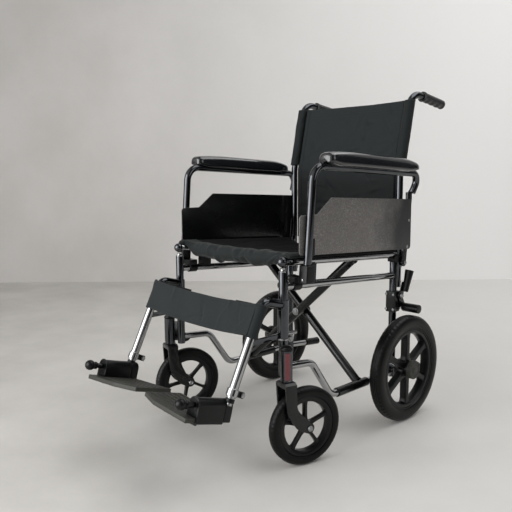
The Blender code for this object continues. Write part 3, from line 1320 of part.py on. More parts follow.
def build_side(word, side, frame_pivot):
    """All pieces of one side, hung on that side's frame."""
    for build, material in ((side_frame, "gunmetal"), (back_cane, "gunmetal"), (hand_grip, "grey_plastic"),
                            (tipping_rubber, "rubber"), (arm_socket, "black_plastic"),
                            (brake_clamp, "black_enamel"), (rear_axle, "steel")):
        hang(build(f"{build.__name__}_{word}", side), frame_pivot, material)
    hang(saddle(f"front_saddle_{word}", side, FRONT_SADDLE_Y), frame_pivot, "black_plastic")
    hang(saddle(f"rear_saddle_{word}", side, REAR_SADDLE_Y), frame_pivot, "black_plastic")

    empty(f"rear_wheel_{word}", frame_pivot, (side * WHEEL_X, 0, WHEEL_R))
    for build, material in ((rear_tyre, "rubber"), (rear_rim, "black_plastic"), (rear_hub_cap, "grey_plastic")):
        hang(build(f"{build.__name__}_{word}", side), f"rear_wheel_{word}", material)

    swivel = f"caster_swivel_{word}"
    empty(swivel, frame_pivot, (side * STEM_X, STEM_Y, HOUSING_Z), Matrix.Rotation(-CASTER_TURN, 4, "Z"))
    hang(caster_fork(f"caster_fork_{word}", side), swivel, "black_enamel")
    hang(caster_axle(f"caster_axle_{word}", side), swivel, "steel")
    hub = hub_frame(side)
    empty(f"caster_wheel_{word}", swivel, hub.translation, Matrix.Rotation(-CASTER_TURN, 4, "Z"))
    hang(caster_tyre(f"caster_tyre_{word}", side), f"caster_wheel_{word}", "rubber")
    hang(caster_rim(f"caster_rim_{word}", side), f"caster_wheel_{word}", "black_plastic")

    empty(f"armrest_{word}", frame_pivot, (side * BAR_OUT, CANE_Y, ARM_PIVOT_Z))
    for build, material in ((arm_frame, "gunmetal"), (skirt_panel, "panel_plastic"), (arm_pad, "pad_vinyl")):
        hang(build(f"{build.__name__}_{word}", side), f"armrest_{word}", material)

    brake = (side * brake_plate_x(), BRAKE_PIVOT_Y, BRAKE_PIVOT_Z)
    empty(f"brake_lever_pivot_{word}", frame_pivot, brake)
    empty(f"brake_shoe_pivot_{word}", frame_pivot, brake)
    hang(brake_lever(f"brake_lever_{word}", side), f"brake_lever_pivot_{word}", "black_plastic")
    hang(brake_shoe(f"brake_shoe_{word}", side), f"brake_shoe_pivot_{word}", "black_enamel")

    swing = f"legrest_{word}"
    empty(swing, frame_pivot, (side * FRAME_X, FRONT_POST_Y, HANGER_FOOT_Z))
    hang(legrest_hanger(f"legrest_hanger_{word}", side), swing, "chrome")
    hang(leg_clamp(f"leg_clamp_{word}", side), swing, "steel")
    slide = f"leg_slide_{word}"
    empty(slide, swing, leg_foot(side), Matrix.Rotation(-LEG_TILT, 4, "X"))
    hang(leg_extension(f"leg_extension_{word}", side), slide, "black_enamel")
    hang(rod_ball(f"rod_ball_{word}", side), slide, "gunmetal")
    flip = f"footplate_flip_{word}"
    empty(flip, slide, (side * FLIP_X, BALL_Y, BALL_Z), Matrix.Rotation(-FLIP_SLOPE, 4, "X"))
    hang(footplate(f"footplate_{word}", side), flip, "grey_plastic")


for leftover in list(bpy.data.objects):
    bpy.data.objects.remove(leftover)
COLLECTION = bpy.data.collections.new("folding_wheelchair")
bpy.context.scene.collection.children.link(COLLECTION)
PIVOTS = {}

LEFT = 1
RIGHT = -1
REAR_PLANE = BRACE_Y + BRACE_STEP
FRONT_PLANE = BRACE_Y - BRACE_STEP

empty("left_frame", None, (0, 0, 0))
empty("rear_brace_hinge", "left_frame", (LEFT * FRAME_X, REAR_PLANE, LOWER_RAIL_Z))
empty("brace_centre", "rear_brace_hinge", (0, FRONT_PLANE, BRACE_CENTRE_Z))
empty("right_frame", "brace_centre", (RIGHT * FRAME_X, FRONT_PLANE, LOWER_RAIL_Z))

hang(brace("rear_cross_brace", RIGHT, REAR_PLANE), "rear_brace_hinge", "black_enamel")
hang(rail_cap("rail_cap_right", RIGHT), "rear_brace_hinge", "gunmetal")
hang(brace_bolt("brace_bolt"), "rear_brace_hinge", "steel")
hang(brace("front_cross_brace", LEFT, FRONT_PLANE), "brace_centre", "black_enamel")
hang(rail_cap("rail_cap_left", LEFT), "brace_centre", "gunmetal")

build_side("left", LEFT, "left_frame")
build_side("right", RIGHT, "right_frame")

hang(seat_sling("seat_sling"), "left_frame", "black_cloth", pi)
hang(back_sling("back_sling"), "left_frame", "slate_cloth")
hang(calf_strap("calf_strap"), "left_frame", "strap_cloth")
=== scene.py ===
# %% [markdown]
# # A folding transit wheelchair, dressed
# The imported model holds the chair's measured solids with their joints. This lesson gives each of
# them the surface that the eye sees: plated tube, moulded plastic, rubber, woven nylon. Every new
# piece stands where its solid stands, and all but the seat cloth move with a body of the chair.
#
# Places below are the chair's own: X runs to the sitter's left, Y to the back, counted from the
# rear axle, and Z up from the floor, in metres.

# %% The imported frame
import json

import bpy
import numpy as np
from mathutils import Matrix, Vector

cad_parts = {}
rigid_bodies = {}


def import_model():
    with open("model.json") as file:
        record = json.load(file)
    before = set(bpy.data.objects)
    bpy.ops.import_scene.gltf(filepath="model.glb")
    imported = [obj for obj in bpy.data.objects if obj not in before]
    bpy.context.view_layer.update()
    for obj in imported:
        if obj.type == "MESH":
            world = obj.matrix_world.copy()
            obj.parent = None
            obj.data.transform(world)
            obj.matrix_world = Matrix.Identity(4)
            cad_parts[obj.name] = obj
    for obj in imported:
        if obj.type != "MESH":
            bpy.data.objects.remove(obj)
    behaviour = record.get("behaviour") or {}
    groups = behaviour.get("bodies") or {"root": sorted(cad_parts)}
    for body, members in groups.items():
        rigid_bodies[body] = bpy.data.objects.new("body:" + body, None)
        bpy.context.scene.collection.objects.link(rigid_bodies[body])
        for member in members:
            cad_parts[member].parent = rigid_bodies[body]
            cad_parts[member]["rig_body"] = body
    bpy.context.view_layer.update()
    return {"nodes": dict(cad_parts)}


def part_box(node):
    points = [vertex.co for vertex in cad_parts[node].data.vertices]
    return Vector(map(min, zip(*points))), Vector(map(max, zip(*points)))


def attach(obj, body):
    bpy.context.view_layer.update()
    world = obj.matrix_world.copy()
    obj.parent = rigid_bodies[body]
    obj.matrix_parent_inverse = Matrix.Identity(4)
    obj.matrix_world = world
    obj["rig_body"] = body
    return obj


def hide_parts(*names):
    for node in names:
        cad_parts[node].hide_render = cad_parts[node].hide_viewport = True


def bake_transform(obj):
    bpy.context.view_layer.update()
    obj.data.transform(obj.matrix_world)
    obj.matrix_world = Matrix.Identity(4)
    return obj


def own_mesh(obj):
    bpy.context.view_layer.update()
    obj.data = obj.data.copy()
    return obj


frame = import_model()
tyre_low, tyre_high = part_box("rear_tyre_left")
AXLE_Y = (tyre_low.y + tyre_high.y) / 2
SIDES = {"left": 1, "right": -1}

# %% [markdown]
# ## The camera
# A camera is a frame: one axis to the right of the picture, one up, one backwards. Its turn is
# written here as three angles, round the chair, downwards and about its own line of sight, and the
# lens as a focal length in pixels of a 512 pixel wide picture.

# %% The camera
ROUND_CHAIR = 0.81218205
DOWNWARDS = 0.13551767
ROLL = -0.00674877
FOCAL_PIXELS = 630.707365
PICTURE_PIXELS = 512
SENSOR_MM = 36.0
STANDPOINT = np.array((1.24169614, -1.51976733 + AXLE_Y, 0.71984840))

forward = np.array((-np.sin(ROUND_CHAIR) * np.cos(DOWNWARDS), np.cos(ROUND_CHAIR) * np.cos(DOWNWARDS),
                    -np.sin(DOWNWARDS)))
level = np.array((np.cos(ROUND_CHAIR), np.sin(ROUND_CHAIR), 0.0))
upright = np.cross(level, forward)
to_right = np.cos(ROLL) * level + np.sin(ROLL) * upright
to_top = np.cos(ROLL) * upright - np.sin(ROLL) * level
stand = np.eye(4)
stand[:3] = np.stack([to_right, to_top, -forward, STANDPOINT], -1)
lens = bpy.data.cameras.new("camera")
lens.sensor_width = SENSOR_MM
lens.lens = FOCAL_PIXELS / PICTURE_PIXELS * SENSOR_MM
camera = bpy.data.objects.new("camera", lens)
camera.matrix_world = Matrix(stand.tolist())
bpy.context.scene.collection.objects.link(camera)
bpy.context.scene.camera = camera
bpy.context.scene.view_settings.view_transform = "Standard"
print("lens", round(lens.lens, 2), "mm")

# %% [markdown]
# ## Places, frames and surfaces
# All shapes are worked out with whole arrays. A frame is a 4 by 4 matrix. A surface is a grid
# of places: each row is a ring, and the rings follow each other along the piece. Where a grid's
# faces come out pointing inwards, the volume that they enclose is negative, so all of them are
# turned round.

# %% Places and frames
def unit(vectors):
    """Each vector divided by its own length."""
    vectors = np.asarray(vectors, float)
    return vectors / np.linalg.norm(vectors, axis=-1, keepdims=True)


def at(x, y, z):
    """Frame that stands at a place, unturned."""
    made = np.eye(4)
    made[:3, 3] = (x, y, z)
    return made


def turn(axis, degrees):
    """Frame turned about one axis."""
    return np.array(Matrix.Rotation(np.radians(degrees), 4, axis))


def carried(seat, places):
    """Places of a frame in the chair's own axes: the turned place plus the frame's stand."""
    return np.asarray(places, float) @ seat[:3, :3].T + seat[:3, 3]


def side_plane(x):
    """Frame whose X and Y are the chair's Y and Z, standing at the given X."""
    return np.array(((0, 0, 1, x), (1, 0, 0, 0), (0, 1, 0, 0), (0, 0, 0, 1)), float)


# %% Surfaces from grids
def smooth_step(value):
    """0 below 0, 1 above 1, and 3 v^2 - 2 v^3 between."""
    value = np.clip(value, 0, 1)
    return value * value * (3 - 2 * value)


def bow(share):
    """0 at both ends and 1 half way, as a parabola."""
    return 1 - (2 * share - 1) ** 2


def grid_of(first, second):
    """Two grids, one with each pair's first value and one with its second."""
    return np.meshgrid(first, second, indexing="ij")


def shares(rows, columns):
    """Shares from 0 to 1 along the rows and along the columns of a grid."""
    return grid_of(np.linspace(0, 1, rows), np.linspace(0, 1, columns))


def raised(rings, heights):
    """Rings of (x, y) places, each set at its own height."""
    return np.concatenate([rings, np.broadcast_to(heights[:, None, None], (*rings.shape[:2], 1))], -1)


def outward(places, faces, caps):
    """Surface whose faces point out: the sum of a . (b x c) over its triangles is six volumes."""
    fans = [faces[:, [0, k, k + 1]] for k in range(1, faces.shape[1] - 1)]
    for cap in caps:
        fans.append(np.stack([np.full(len(cap) - 2, cap[0]), cap[1:-1], cap[2:]], -1))
    a, b, c = np.moveaxis(places[np.vstack(fans)], 1, 0)
    if (a * np.cross(b, c)).sum() < 0:
        faces = faces[:, ::-1]
        caps = [cap[::-1] for cap in caps]
    return places, faces, caps


def skin(grid, looped=False):
    """Closed surface over rings of equally many places; looped joins the last ring to the first."""
    rows, columns = grid.shape[:2]
    index = np.arange(rows * columns).reshape(rows, columns)
    net = np.vstack([index, index[:1]]) if looped else index
    net = np.hstack([net, net[:, :1]])
    faces = np.stack([net[:-1, :-1], net[:-1, 1:], net[1:, 1:], net[1:, :-1]], -1).reshape(-1, 4)
    caps = [] if looped else [index[0, ::-1], index[-1]]
    return outward(grid.reshape(-1, 3), faces, caps)


# %% [markdown]
# ## Bent tubes
# A wheelchair frame is steel tube, bent cold round a die. In a computer the bend is an arc in place
# of a corner, and the tube is a circle carried along the path. Cut tube ends have a broken edge, so
# the circle shrinks along a quarter round at both ends.

# %% Paths with round corners
def corner_arc(before, corner, after, radius, step):
    """Arc in a corner: the direction from its centre turns evenly from one leg's foot to the other's."""
    back, onward = unit(before - corner), unit(after - corner)
    half = np.arccos(np.clip(back @ onward, -1, 1)) / 2
    centre = corner + unit(back + onward) * radius / np.sin(half)
    start = corner + back * radius / np.tan(half) - centre
    end = corner + onward * radius / np.tan(half) - centre
    angle = np.pi - 2 * half
    part = np.linspace(0, 1, max(2, int(np.ceil(np.degrees(angle) / step))) + 1)[:, None]
    return centre + (np.sin((1 - part) * angle) * start + np.sin(part * angle) * end) / np.sin(angle)


def bent(corners, radius, step=6.0):
    """Open path through the corners with an arc in place of each inner one."""
    corners = np.asarray(corners, float)
    arcs = [corner_arc(*corners[i - 1:i + 2], radius, step) for i in range(1, len(corners) - 1)]
    return np.vstack([corners[:1], *arcs, corners[-1:]])


def rounded(outline, radius, step=15.0):
    """Closed outline with an arc in place of each corner."""
    outline = np.asarray(outline, float)
    count = len(outline)
    return np.vstack([corner_arc(outline[i - 1], outline[i], outline[(i + 1) % count], radius, step)
                      for i in range(count)])


# %% Tubes, rods and turned shapes
QUARTER = np.radians([0, 25, 50, 70, 90])


def circle(radius, sides):
    """Places on a circle: (r cos t, r sin t)."""
    t = np.arange(sides) * 2 * np.pi / sides
    return radius * np.stack([np.cos(t), np.sin(t)], -1)


def swept(path, section, across=(1, 0, 0), sizes=None):
    """Section (a, b) carried along a path: path + a u + b v, with u across and v square to both."""
    path = np.asarray(path, float)
    steps = unit(np.diff(path, axis=0))
    ahead = unit(np.vstack([steps[:1], steps[:-1] + steps[1:], steps[-1:]]))
    across = np.asarray(across, float)
    u = unit(across - (ahead @ across)[:, None] * ahead)
    v = np.cross(ahead, u)
    section = np.asarray(section, float) * (np.ones(len(path)) if sizes is None else sizes)[:, None, None]
    return skin(path[:, None] + section[..., :1] * u[:, None] + section[..., 1:] * v[:, None])


def tube(path, radius, edge=0.0006, sides=32, across=(1, 0, 0)):
    """Round tube with broken end edges: radius R - e + e sin a at the depth e - e cos a."""
    path = np.asarray(path, float)
    depth = (edge * (1 - np.cos(QUARTER)))[:, None]
    first = path[0] + depth * unit(path[1] - path[0])
    last = path[-1] + depth[::-1] * unit(path[-2] - path[-1])
    ends = 1 - edge / radius * (1 - np.sin(QUARTER))
    sizes = np.concatenate([ends, np.ones(len(path) - 2), ends[::-1]])
    return swept(np.vstack([first, path[1:-1], last]), circle(radius, sides), across, sizes)


def rod(start, end, radius, end_radius=None, edge=0.0005, sides=28):
    """Cylinder, cone or prism between two places, with broken end edges."""
    start, end = np.asarray(start, float), np.asarray(end, float)
    along = unit(end - start)
    edge = min(edge, 0.4 * np.linalg.norm(end - start))
    depth = (edge * (1 - np.cos(QUARTER)))[:, None]
    path = np.vstack([start + depth * along, end - depth[::-1] * along])
    lip = edge * (1 - np.sin(QUARTER))
    sizes = np.concatenate([radius - lip, (radius if end_radius is None else end_radius) - lip[::-1]])
    return swept(path, circle(1.0, sides), np.eye(3)[np.argmin(np.abs(along))], sizes)


def rod_across(y, z, start, end, *radii, **edges):
    """Rod from side to side, at one Y and Z."""
    return rod((start, y, z), (end, y, z), *radii, **edges)


def rod_along(x, z, start, end, *radii, **edges):
    """Rod from front to back, at one X and Z."""
    return rod((x, start, z), (x, end, z), *radii, **edges)


def rod_on(seat, start, end, *radii, **edges):
    """Rod on a frame's Z."""
    return rod(carried(seat, (0, 0, start)), carried(seat, (0, 0, end)), *radii, **edges)


def turned(profile, seat, steps=72, looped=False):
    """Profile of (radius, height) places turned about the frame's Z: (r cos t, r sin t, h)."""
    radius, height = np.asarray(profile, float).T
    return skin(carried(seat, raised(radius[:, None, None] * circle(1.0, steps), height)), looped)


def bush(bore, shoulder, radius, low, high, edge):
    """Section of a hollow round with its outer edges broken."""
    return [(bore, low), (shoulder, low), (radius, low + edge), (radius, high - edge), (shoulder, high),
            (bore, high)]


def ball(centre, radius, axis, steps=36):
    """Ball: a half circle of (R sin a, R cos a) places turned about an axis."""
    seat = np.array(Matrix.Translation(centre) @ Matrix(
        np.stack([*np.linalg.svd([unit(axis)])[2][1:], unit(axis)], -1).tolist()).to_4x4())
    a = np.radians(np.linspace(3, 177, 22))
    return turned(radius * np.stack([np.sin(a), np.cos(a)], -1), seat, steps)


# %% [markdown]
# ## Plates and blocks
# Pressed plates and moulded blocks never have knife edges. A plate here is an outline stacked in
# rings: at both faces the outline is drawn in by the edge's radius, along the line that halves each
# corner.

# %% Plates and blocks
def slab(outline, thickness, seat, edge=0.0008):
    """Plate on both sides of its frame's XY plane: inset e - e sin a at the depth e - e cos a."""
    outline = np.asarray(outline, float)[:, :2]
    onward = np.roll(outline, -1, 0) - outline
    if (outline[:, 0] * onward[:, 1] - outline[:, 1] * onward[:, 0]).sum() < 0:
        outline = outline[::-1]
        onward = np.roll(outline, -1, 0) - outline
    ahead = unit(onward)
    left = np.stack([-ahead[:, 1], ahead[:, 0]], -1)
    inward = unit(left + np.roll(left, 1, 0))
    inward /= np.maximum(0.4, (left * inward).sum(-1, keepdims=True))
    inset = edge * (1 - np.sin(QUARTER))
    height = edge * (1 - np.cos(QUARTER)) - thickness / 2
    insets = np.concatenate([inset, inset[::-1]])[:, None, None]
    heights = np.concatenate([height, -height[::-1]])
    return skin(carried(seat, raised(outline + insets * inward, heights)))


def block(low, high, seat=np.eye(4), edge=0.0010):
    """Box between two corners with all its edges rounded."""
    low, high = np.minimum(low, high), np.maximum(low, high)
    corners = [(low[0], low[1]), (high[0], low[1]), (high[0], high[1]), (low[0], high[1])]
    return slab(rounded(corners, 1.3 * edge, 30), high[2] - low[2],
                seat @ at(0, 0, (low[2] + high[2]) / 2), edge)


def arc(centre, radius, start, end, steps=13):
    """Places on an arc between two angles in degrees: centre + r (cos t, sin t)."""
    t = np.radians(np.linspace(start, end, steps))[:, None]
    return np.asarray(centre) + radius * np.hstack([np.cos(t), np.sin(t)])


def link(start, end, start_radius, end_radius, steps=14):
    """Outline round two circles, for a flat link."""
    start, end = np.asarray(start, float), np.asarray(end, float)
    along = np.arctan2(*(end - start)[::-1])
    t = np.linspace(0, np.pi, steps)[:, None]
    far = end + end_radius * np.hstack([np.cos(along - np.pi / 2 + t), np.sin(along - np.pi / 2 + t)])
    near = start + start_radius * np.hstack([np.cos(along + np.pi / 2 + t), np.sin(along + np.pi / 2 + t)])
    return np.vstack([far, near])


# %% [markdown]
# ## Weld beads
# Where a rail meets a post, the welder leaves a small rippled bead. Its seam is the line where the
# two round skins cross, and the bead is a thin ring round that line.

# %% Weld beads
def weld(centre, along, across, radius, post_radius, bead=0.0016):
    """Ring on the seam centre + sqrt(R^2 - r^2 cos^2 t) along + r (cos t, sin t), swelling 26 times."""
    along, across = unit(along), unit(across)
    t = np.linspace(0, 2 * np.pi, 104, endpoint=False)[:, None]
    radial = np.cos(t) * across + np.sin(t) * np.cross(along, across)
    reach = np.sqrt(np.maximum(post_radius ** 2 - (radius * np.cos(t)) ** 2, 1e-8))
    seam = centre + reach * along + radius * radial
    swell = bead * (1 + 0.14 * np.sin(26 * t))
    p = np.linspace(0, 2 * np.pi, 10, endpoint=False)
    grid = seam[:, None] + swell[:, None] * (np.cos(p)[None, :, None] * radial[:, None]
                                             + np.sin(p)[None, :, None] * along)
    return skin(grid, looped=True)


# %% [markdown]
# ## One object per piece
# All surfaces of a piece go into one mesh, each with its own finish. The object stays at the origin,
# its place is in its mesh, and it rides on the body of the solid that it stands for. Most pieces
# come in pairs, so one more function runs their makers for both sides.

# %% Building a piece
def piece(name, parts, stands_for, smooth=38, rides=True):
    """Object from (surface, finish) pairs, or (surface, finish, uv) for cloth."""
    places, faces, finishes, index, weave, start = [], [], [], [], [], 0
    for (spots, quads, caps), finish, *uv in parts:
        if finish not in finishes:
            finishes.append(finish)
        places.append(spots)
        weave.append(uv[0] if uv else np.zeros((len(spots), 2)))
        faces += (quads + start).tolist() + [(cap + start).tolist() for cap in caps]
        index += [finishes.index(finish)] * (len(quads) + len(caps))
        start += len(spots)
    mesh = bpy.data.meshes.new(name)
    mesh.from_pydata((np.vstack(places) + (0, AXLE_Y, 0)).tolist(), [], faces)
    for finish in finishes:
        mesh.materials.append(finish)
    mesh.polygons.foreach_set("material_index", index)
    corner = np.empty(len(mesh.loops), int)
    mesh.loops.foreach_get("vertex_index", corner)
    mesh.uv_layers.new(name="weave").data.foreach_set("uv", np.vstack(weave)[corner].ravel())
    mesh.shade_smooth()
    mesh.set_sharp_from_angle(angle=np.radians(smooth))
    made = bpy.data.objects.new(name, mesh)
    bpy.context.scene.collection.objects.link(made)
    if rides:
        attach(made, frame["nodes"][stands_for[0]]["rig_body"])
    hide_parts(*stands_for)
    print(f"{name}: {len(faces)} faces for {', '.join(stands_for)}")
    return made


def both_sides(*rows):
    """Each row's piece on both sides: name, maker, solid, and where given the finish and sharp angle."""
    for word, side in SIDES.items():
        for name, maker, solid, *more in rows:
            finish, smooth = more or (None, 38)
            parts = [(maker(side), finish)] if finish else maker(side)
            piece(f"{name}_{word}", parts, [f"{solid}_{word}"], smooth)


# %% [markdown]
# ## Finishes
# Colours are written as sRGB hex values and turned to linear light by one function. One more small
# function adds a node with its settings and links. Noise, ramps, mixed tones and bumps are
# short functions over it, and every material is built from these.

# %% Colours and nodes
def linear(colour):
    """sRGB hex as linear red, green, blue and alpha."""
    channel = np.array([int(colour[i:i + 2], 16) for i in (1, 3, 5)]) / 255
    low, high = channel / 12.92, ((channel + 0.055) / 1.055) ** 2.4
    return (*np.where(channel <= 0.04045, low, high).tolist(), 1.0)


def add(tree, kind, sockets=None, **settings):
    """Adds a shader node; a socket's value is a number, a colour or another node's output."""
    made = tree.nodes.new("ShaderNode" + kind)
    for name, value in settings.items():
        setattr(made, name, value)
    for name, value in (sockets or {}).items():
        if isinstance(value, bpy.types.NodeSocket):
            tree.links.new(value, made.inputs[name])
        else:
            made.inputs[name].default_value = value
    return made


def noise(tree, where, scale, detail, roughness=0.5):
    """Soft noise, with its scale in blobs per metre."""
    return add(tree, "TexNoise", {"Vector": where, "Scale": scale, "Detail": detail,
                                  "Roughness": roughness}).outputs[0]


def ramp(tree, value, low, high, to_low=0.0, to_high=1.0):
    """Straight ramp from to_low, where the value is low, to to_high, where it is high."""
    return add(tree, "MapRange", {"Value": value, "From Min": low, "From Max": high,
                                  "To Min": to_low, "To Max": to_high}).outputs[0]


def product(tree, first, second):
    """First times second."""
    return add(tree, "Math", {0: first, 1: second}, operation="MULTIPLY").outputs[0]


def mixed(tree, factor, first, second):
    """Tone between two, each a colour or another node's output."""
    return add(tree, "Mix", {"Factor": factor, 6: first, 7: second}, data_type="RGBA").outputs[2]


def feed(tree, shader, socket, output):
    """Links an output to one socket of the shader."""
    tree.links.new(output, shader.inputs[socket])


def relief(tree, shader, height, strength, distance):
    """Bump that follows a height, with the given depth in metres."""
    bump = add(tree, "Bump", {"Height": height, "Strength": strength, "Distance": distance})
    feed(tree, shader, "Normal", bump.outputs[0])


def start_finish(name, slot, colour, roughness, metallic=0.0, **constants):
    """New material with its Principled shader set; returns the material, its nodes and the shader."""
    made = bpy.data.materials.new(name)
    made.use_nodes = True
    made["slot"] = slot
    shader = made.node_tree.nodes["Principled BSDF"]
    shader.inputs["Base Color"].default_value = linear(colour)
    shader.inputs["Roughness"].default_value = roughness
    shader.inputs["Metallic"].default_value = metallic
    for socket, value in constants.items():
        shader.inputs[socket.replace("_", " ")].default_value = value
    return made, made.node_tree, shader


def paint_shade(finish, dark, factor):
    """Carries a finish's own tone over to a dark one, as painted shade."""
    tree = finish.node_tree
    shader = tree.nodes["Principled BSDF"]
    own = shader.inputs["Base Color"].links[0].from_socket
    feed(tree, shader, "Base Color", mixed(tree, factor, own, linear(dark)))


# %% [markdown]
# ## Plated steel
# The posts, canes and armrests are black chrome: a dark mirror with a bright streak where the lamp
# stands. Rails and down-tubes are bright chrome. Both carry faint finger smudges, so the mirror is a
# little duller in soft spots a few centimetres wide. Bolts are zinc plated and duller still.

# %% Plated steel
def plated(name, slot, colour, dark, clean, smudged, grain=0.0):
    """Metal whose roughness follows soft smudges 30 mm wide, and whose tone shifts a little."""
    made, tree, shader = start_finish(name, slot, colour, clean, 1.0)
    where = add(tree, "TexCoord").outputs["Object"]
    smudge = noise(tree, where, 33.0, 5.0, 0.62)
    feed(tree, shader, "Roughness", ramp(tree, smudge, 0.42, 0.72, clean, smudged))
    feed(tree, shader, "Base Color", mixed(tree, smudge, linear(colour), linear(dark)))
    if grain:
        relief(tree, shader, noise(tree, where, 900.0, 2.0), grain, 0.0004)
    return made


black_chrome = plated("black_chrome_plate", "gunmetal", "#5a5c5f", "#424447", 0.09, 0.18)
bright_chrome = plated("bright_chrome_plate", "chrome", "#b4b5b6", "#9b9c9e", 0.08, 0.18)
zinc_steel = plated("zinc_plated_steel", "steel", "#b4b5b6", "#8c8d8e", 0.24, 0.42, 0.25)
print("plated finishes", black_chrome.name, bright_chrome.name, zinc_steel.name)

# %% [markdown]
# ## Enamel, moulded plastic and rubber
# Brace tubes and fork are black stove enamel, smooth with a slight orange peel. Rims, sockets and
# barrels are moulded nylon with a fine spark-eroded grain. The skirt panels have a coarser leather
# grain whose base and tips are painted pale grey, as painted light on the black panel. Rubber is
# matt, with dust in its pores.

# %% Moulded and painted finishes
def moulded(name, slot, colour, pale, roughness, grain, height, amount=0.35, **constants):
    """Plastic, paint or rubber: pores of the grain's width in metres, paler on their tips."""
    made, tree, shader = start_finish(name, slot, colour, roughness, **constants)
    where = add(tree, "TexCoord").outputs["Object"]
    pores = noise(tree, where, 0.6 / grain, 3.0, 0.55)
    cloud = noise(tree, where, 14.0, 4.0)
    worn = product(tree, ramp(tree, pores, 0.45, 0.75, 0.0, amount), cloud)
    feed(tree, shader, "Base Color", mixed(tree, worn, linear(colour), linear(pale)))
    feed(tree, shader, "Roughness",
         ramp(tree, cloud, 0.3, 0.7, 0.88 * roughness, min(1.0, 1.14 * roughness)))
    relief(tree, shader, pores, 0.6, height)
    return made


black_enamel = moulded("black_stove_enamel", "black_enamel", "#08090a", "#17181a", 0.26, 0.004, 0.00006,
                       Coat_Weight=0.2, Coat_Roughness=0.10, Specular_IOR_Level=0.35)
nylon = moulded("moulded_black_nylon", "black_plastic", "#08090a", "#1b1c1e", 0.32, 0.0016, 0.00014,
                Specular_IOR_Level=0.28)
grey_plastic = moulded("moulded_grey_polypropylene", "grey_plastic", "#33332f", "#5c5a55", 0.50, 0.0016,
                       0.00016, Specular_IOR_Level=0.35)
# pale grey base and tips: painted light on the black panel's face
panel_plastic = moulded("grained_black_panel", "panel_plastic", "#63605d", "#b0aca8", 0.40, 0.0018,
                        0.0003, amount=0.9)
grip_rubber = moulded("push_grip_rubber", "rubber", "#18191a", "#3c3d3e", 0.42, 0.0014, 0.00014)
tyre_rubber = moulded("solid_tyre_rubber", "tyre", "#060606", "#1a1a1a", 0.34, 0.0020, 0.00022,
                       Specular_IOR_Level=0.2)
pad_skin = moulded("polyurethane_pad_skin", "pad_vinyl", "#0b0e12", "#1a1e24", 0.20, 0.0030, 0.00012,
                   Coat_Weight=0.9, Coat_Roughness=0.10)
print("moulded finishes made")

# %% [markdown]
# The skirt panels are painted pale on their front half, as painted light, and dark on their rear
# half, as painted shade. A soft ramp along the chair, roughened by clouds, darkens the grain's colour there.

# %% Painted light and shade on the panels
PANEL_SHADE_SPAN = 0.12
tree = panel_plastic.node_tree
where = add(tree, "TexCoord").outputs["Object"]
along_chair = add(tree, "SeparateXYZ", {"Vector": where}).outputs["Y"]
cloudy = add(tree, "Math", {0: noise(tree, where, 11.0, 3.0), 1: 0.22, 2: along_chair},
             operation="MULTIPLY_ADD").outputs[0]
# painted shade: the panel's rear half goes to near black
paint_shade(panel_plastic, "#0b0f13", ramp(tree, cloudy, AXLE_Y, AXLE_Y + PANEL_SHADE_SPAN, 0.0, 0.92))
print("panel ramp made")

# %% [markdown]
# ## Red reflective tape
# A strip of dark red reflective tape faces outwards on each caster housing. It is clear plastic over
# a honeycomb, so it is glossy and shows faint cells.

# %% Red reflective tape
red_tape, tree, shader = start_finish("red_reflective_tape", "black_plastic", "#5a0f1c", 0.22,
                                      Coat_Weight=0.8, Coat_Roughness=0.08)
where = add(tree, "TexCoord").outputs["Object"]
cells = add(tree, "TexVoronoi", {"Vector": where, "Scale": 420.0}, feature="DISTANCE_TO_EDGE")
edges = ramp(tree, cells.outputs[0], 0.0, 0.12)
feed(tree, shader, "Base Color", mixed(tree, edges, linear("#3c0912"), linear("#6a1222")))
print("tape finish made")

# %% [markdown]
# ## Woven nylon
# Seat, back and calf strap are coated nylon in plain weave. The real threads are about half a
# millimetre apart, too fine for the picture, so they are drawn 1.5 mm apart. Warp and weft are two
# wave patterns along the cloth's own UV map, which is laid out in metres.

# %% Woven nylon
THREAD = 0.0015


def woven(name, slot, colour, pale, roughness=0.78, sheen=0.25):
    """Plain weave: two waves one thread apart; a wave texture has the period 2 pi / (20 scale)."""
    made, tree, shader = start_finish(name, slot, colour, roughness, Sheen_Weight=sheen,
                                      Sheen_Roughness=0.45, Specular_IOR_Level=0.3)
    cloth_uv = add(tree, "UVMap", uv_map="weave").outputs["UV"]
    scale = 2 * np.pi / (20 * THREAD)
    warp, weft = (add(tree, "TexWave", {"Vector": cloth_uv, "Scale": scale, "Distortion": 0.35,
                                        "Detail": 1.0, "Detail Scale": 2.0}, bands_direction=way)
                  for way in "XY")
    threads = product(tree, warp.outputs[1], weft.outputs[1])
    faded = product(tree, threads, noise(tree, cloth_uv, 22.0, 5.0))
    feed(tree, shader, "Base Color", mixed(tree, faded, linear(colour), linear(pale)))
    relief(tree, shader, threads, 0.45, 0.0003)
    return made


slate_nylon = woven("slate_woven_nylon", "slate_cloth", "#1a1f20", "#2c3234", sheen=0.03)
black_nylon = woven("black_woven_nylon", "black_cloth", "#040505", "#0c0d0e", 0.9, 0.0)
hem_nylon = woven("hem_woven_nylon", "slate_cloth", "#121717", "#272e2f", sheen=0.08)
strap_nylon = woven("strap_woven_nylon", "strap_cloth", "#191e1f", "#2d3334", sheen=0.08)
thread_finish = woven("black_sewing_thread", "black_cloth", "#1d2022", "#34383a", 0.6, 0.2)
print("cloth finishes made, threads", THREAD * 1000, "mm apart")

# %% [markdown]
# The back is painted darker below the arm pads: painted shade where the armrests and panels shadow
# it, while the upper half keeps the cloth's own tone. The change is a ramp over the height.

# %% Painted shade on the lower back
SHADE_START_Z = 0.74
SHADE_FULL_Z = 0.66
tree = slate_nylon.node_tree
height = add(tree, "SeparateXYZ", {"Vector": add(tree, "TexCoord").outputs["Object"]}).outputs["Z"]
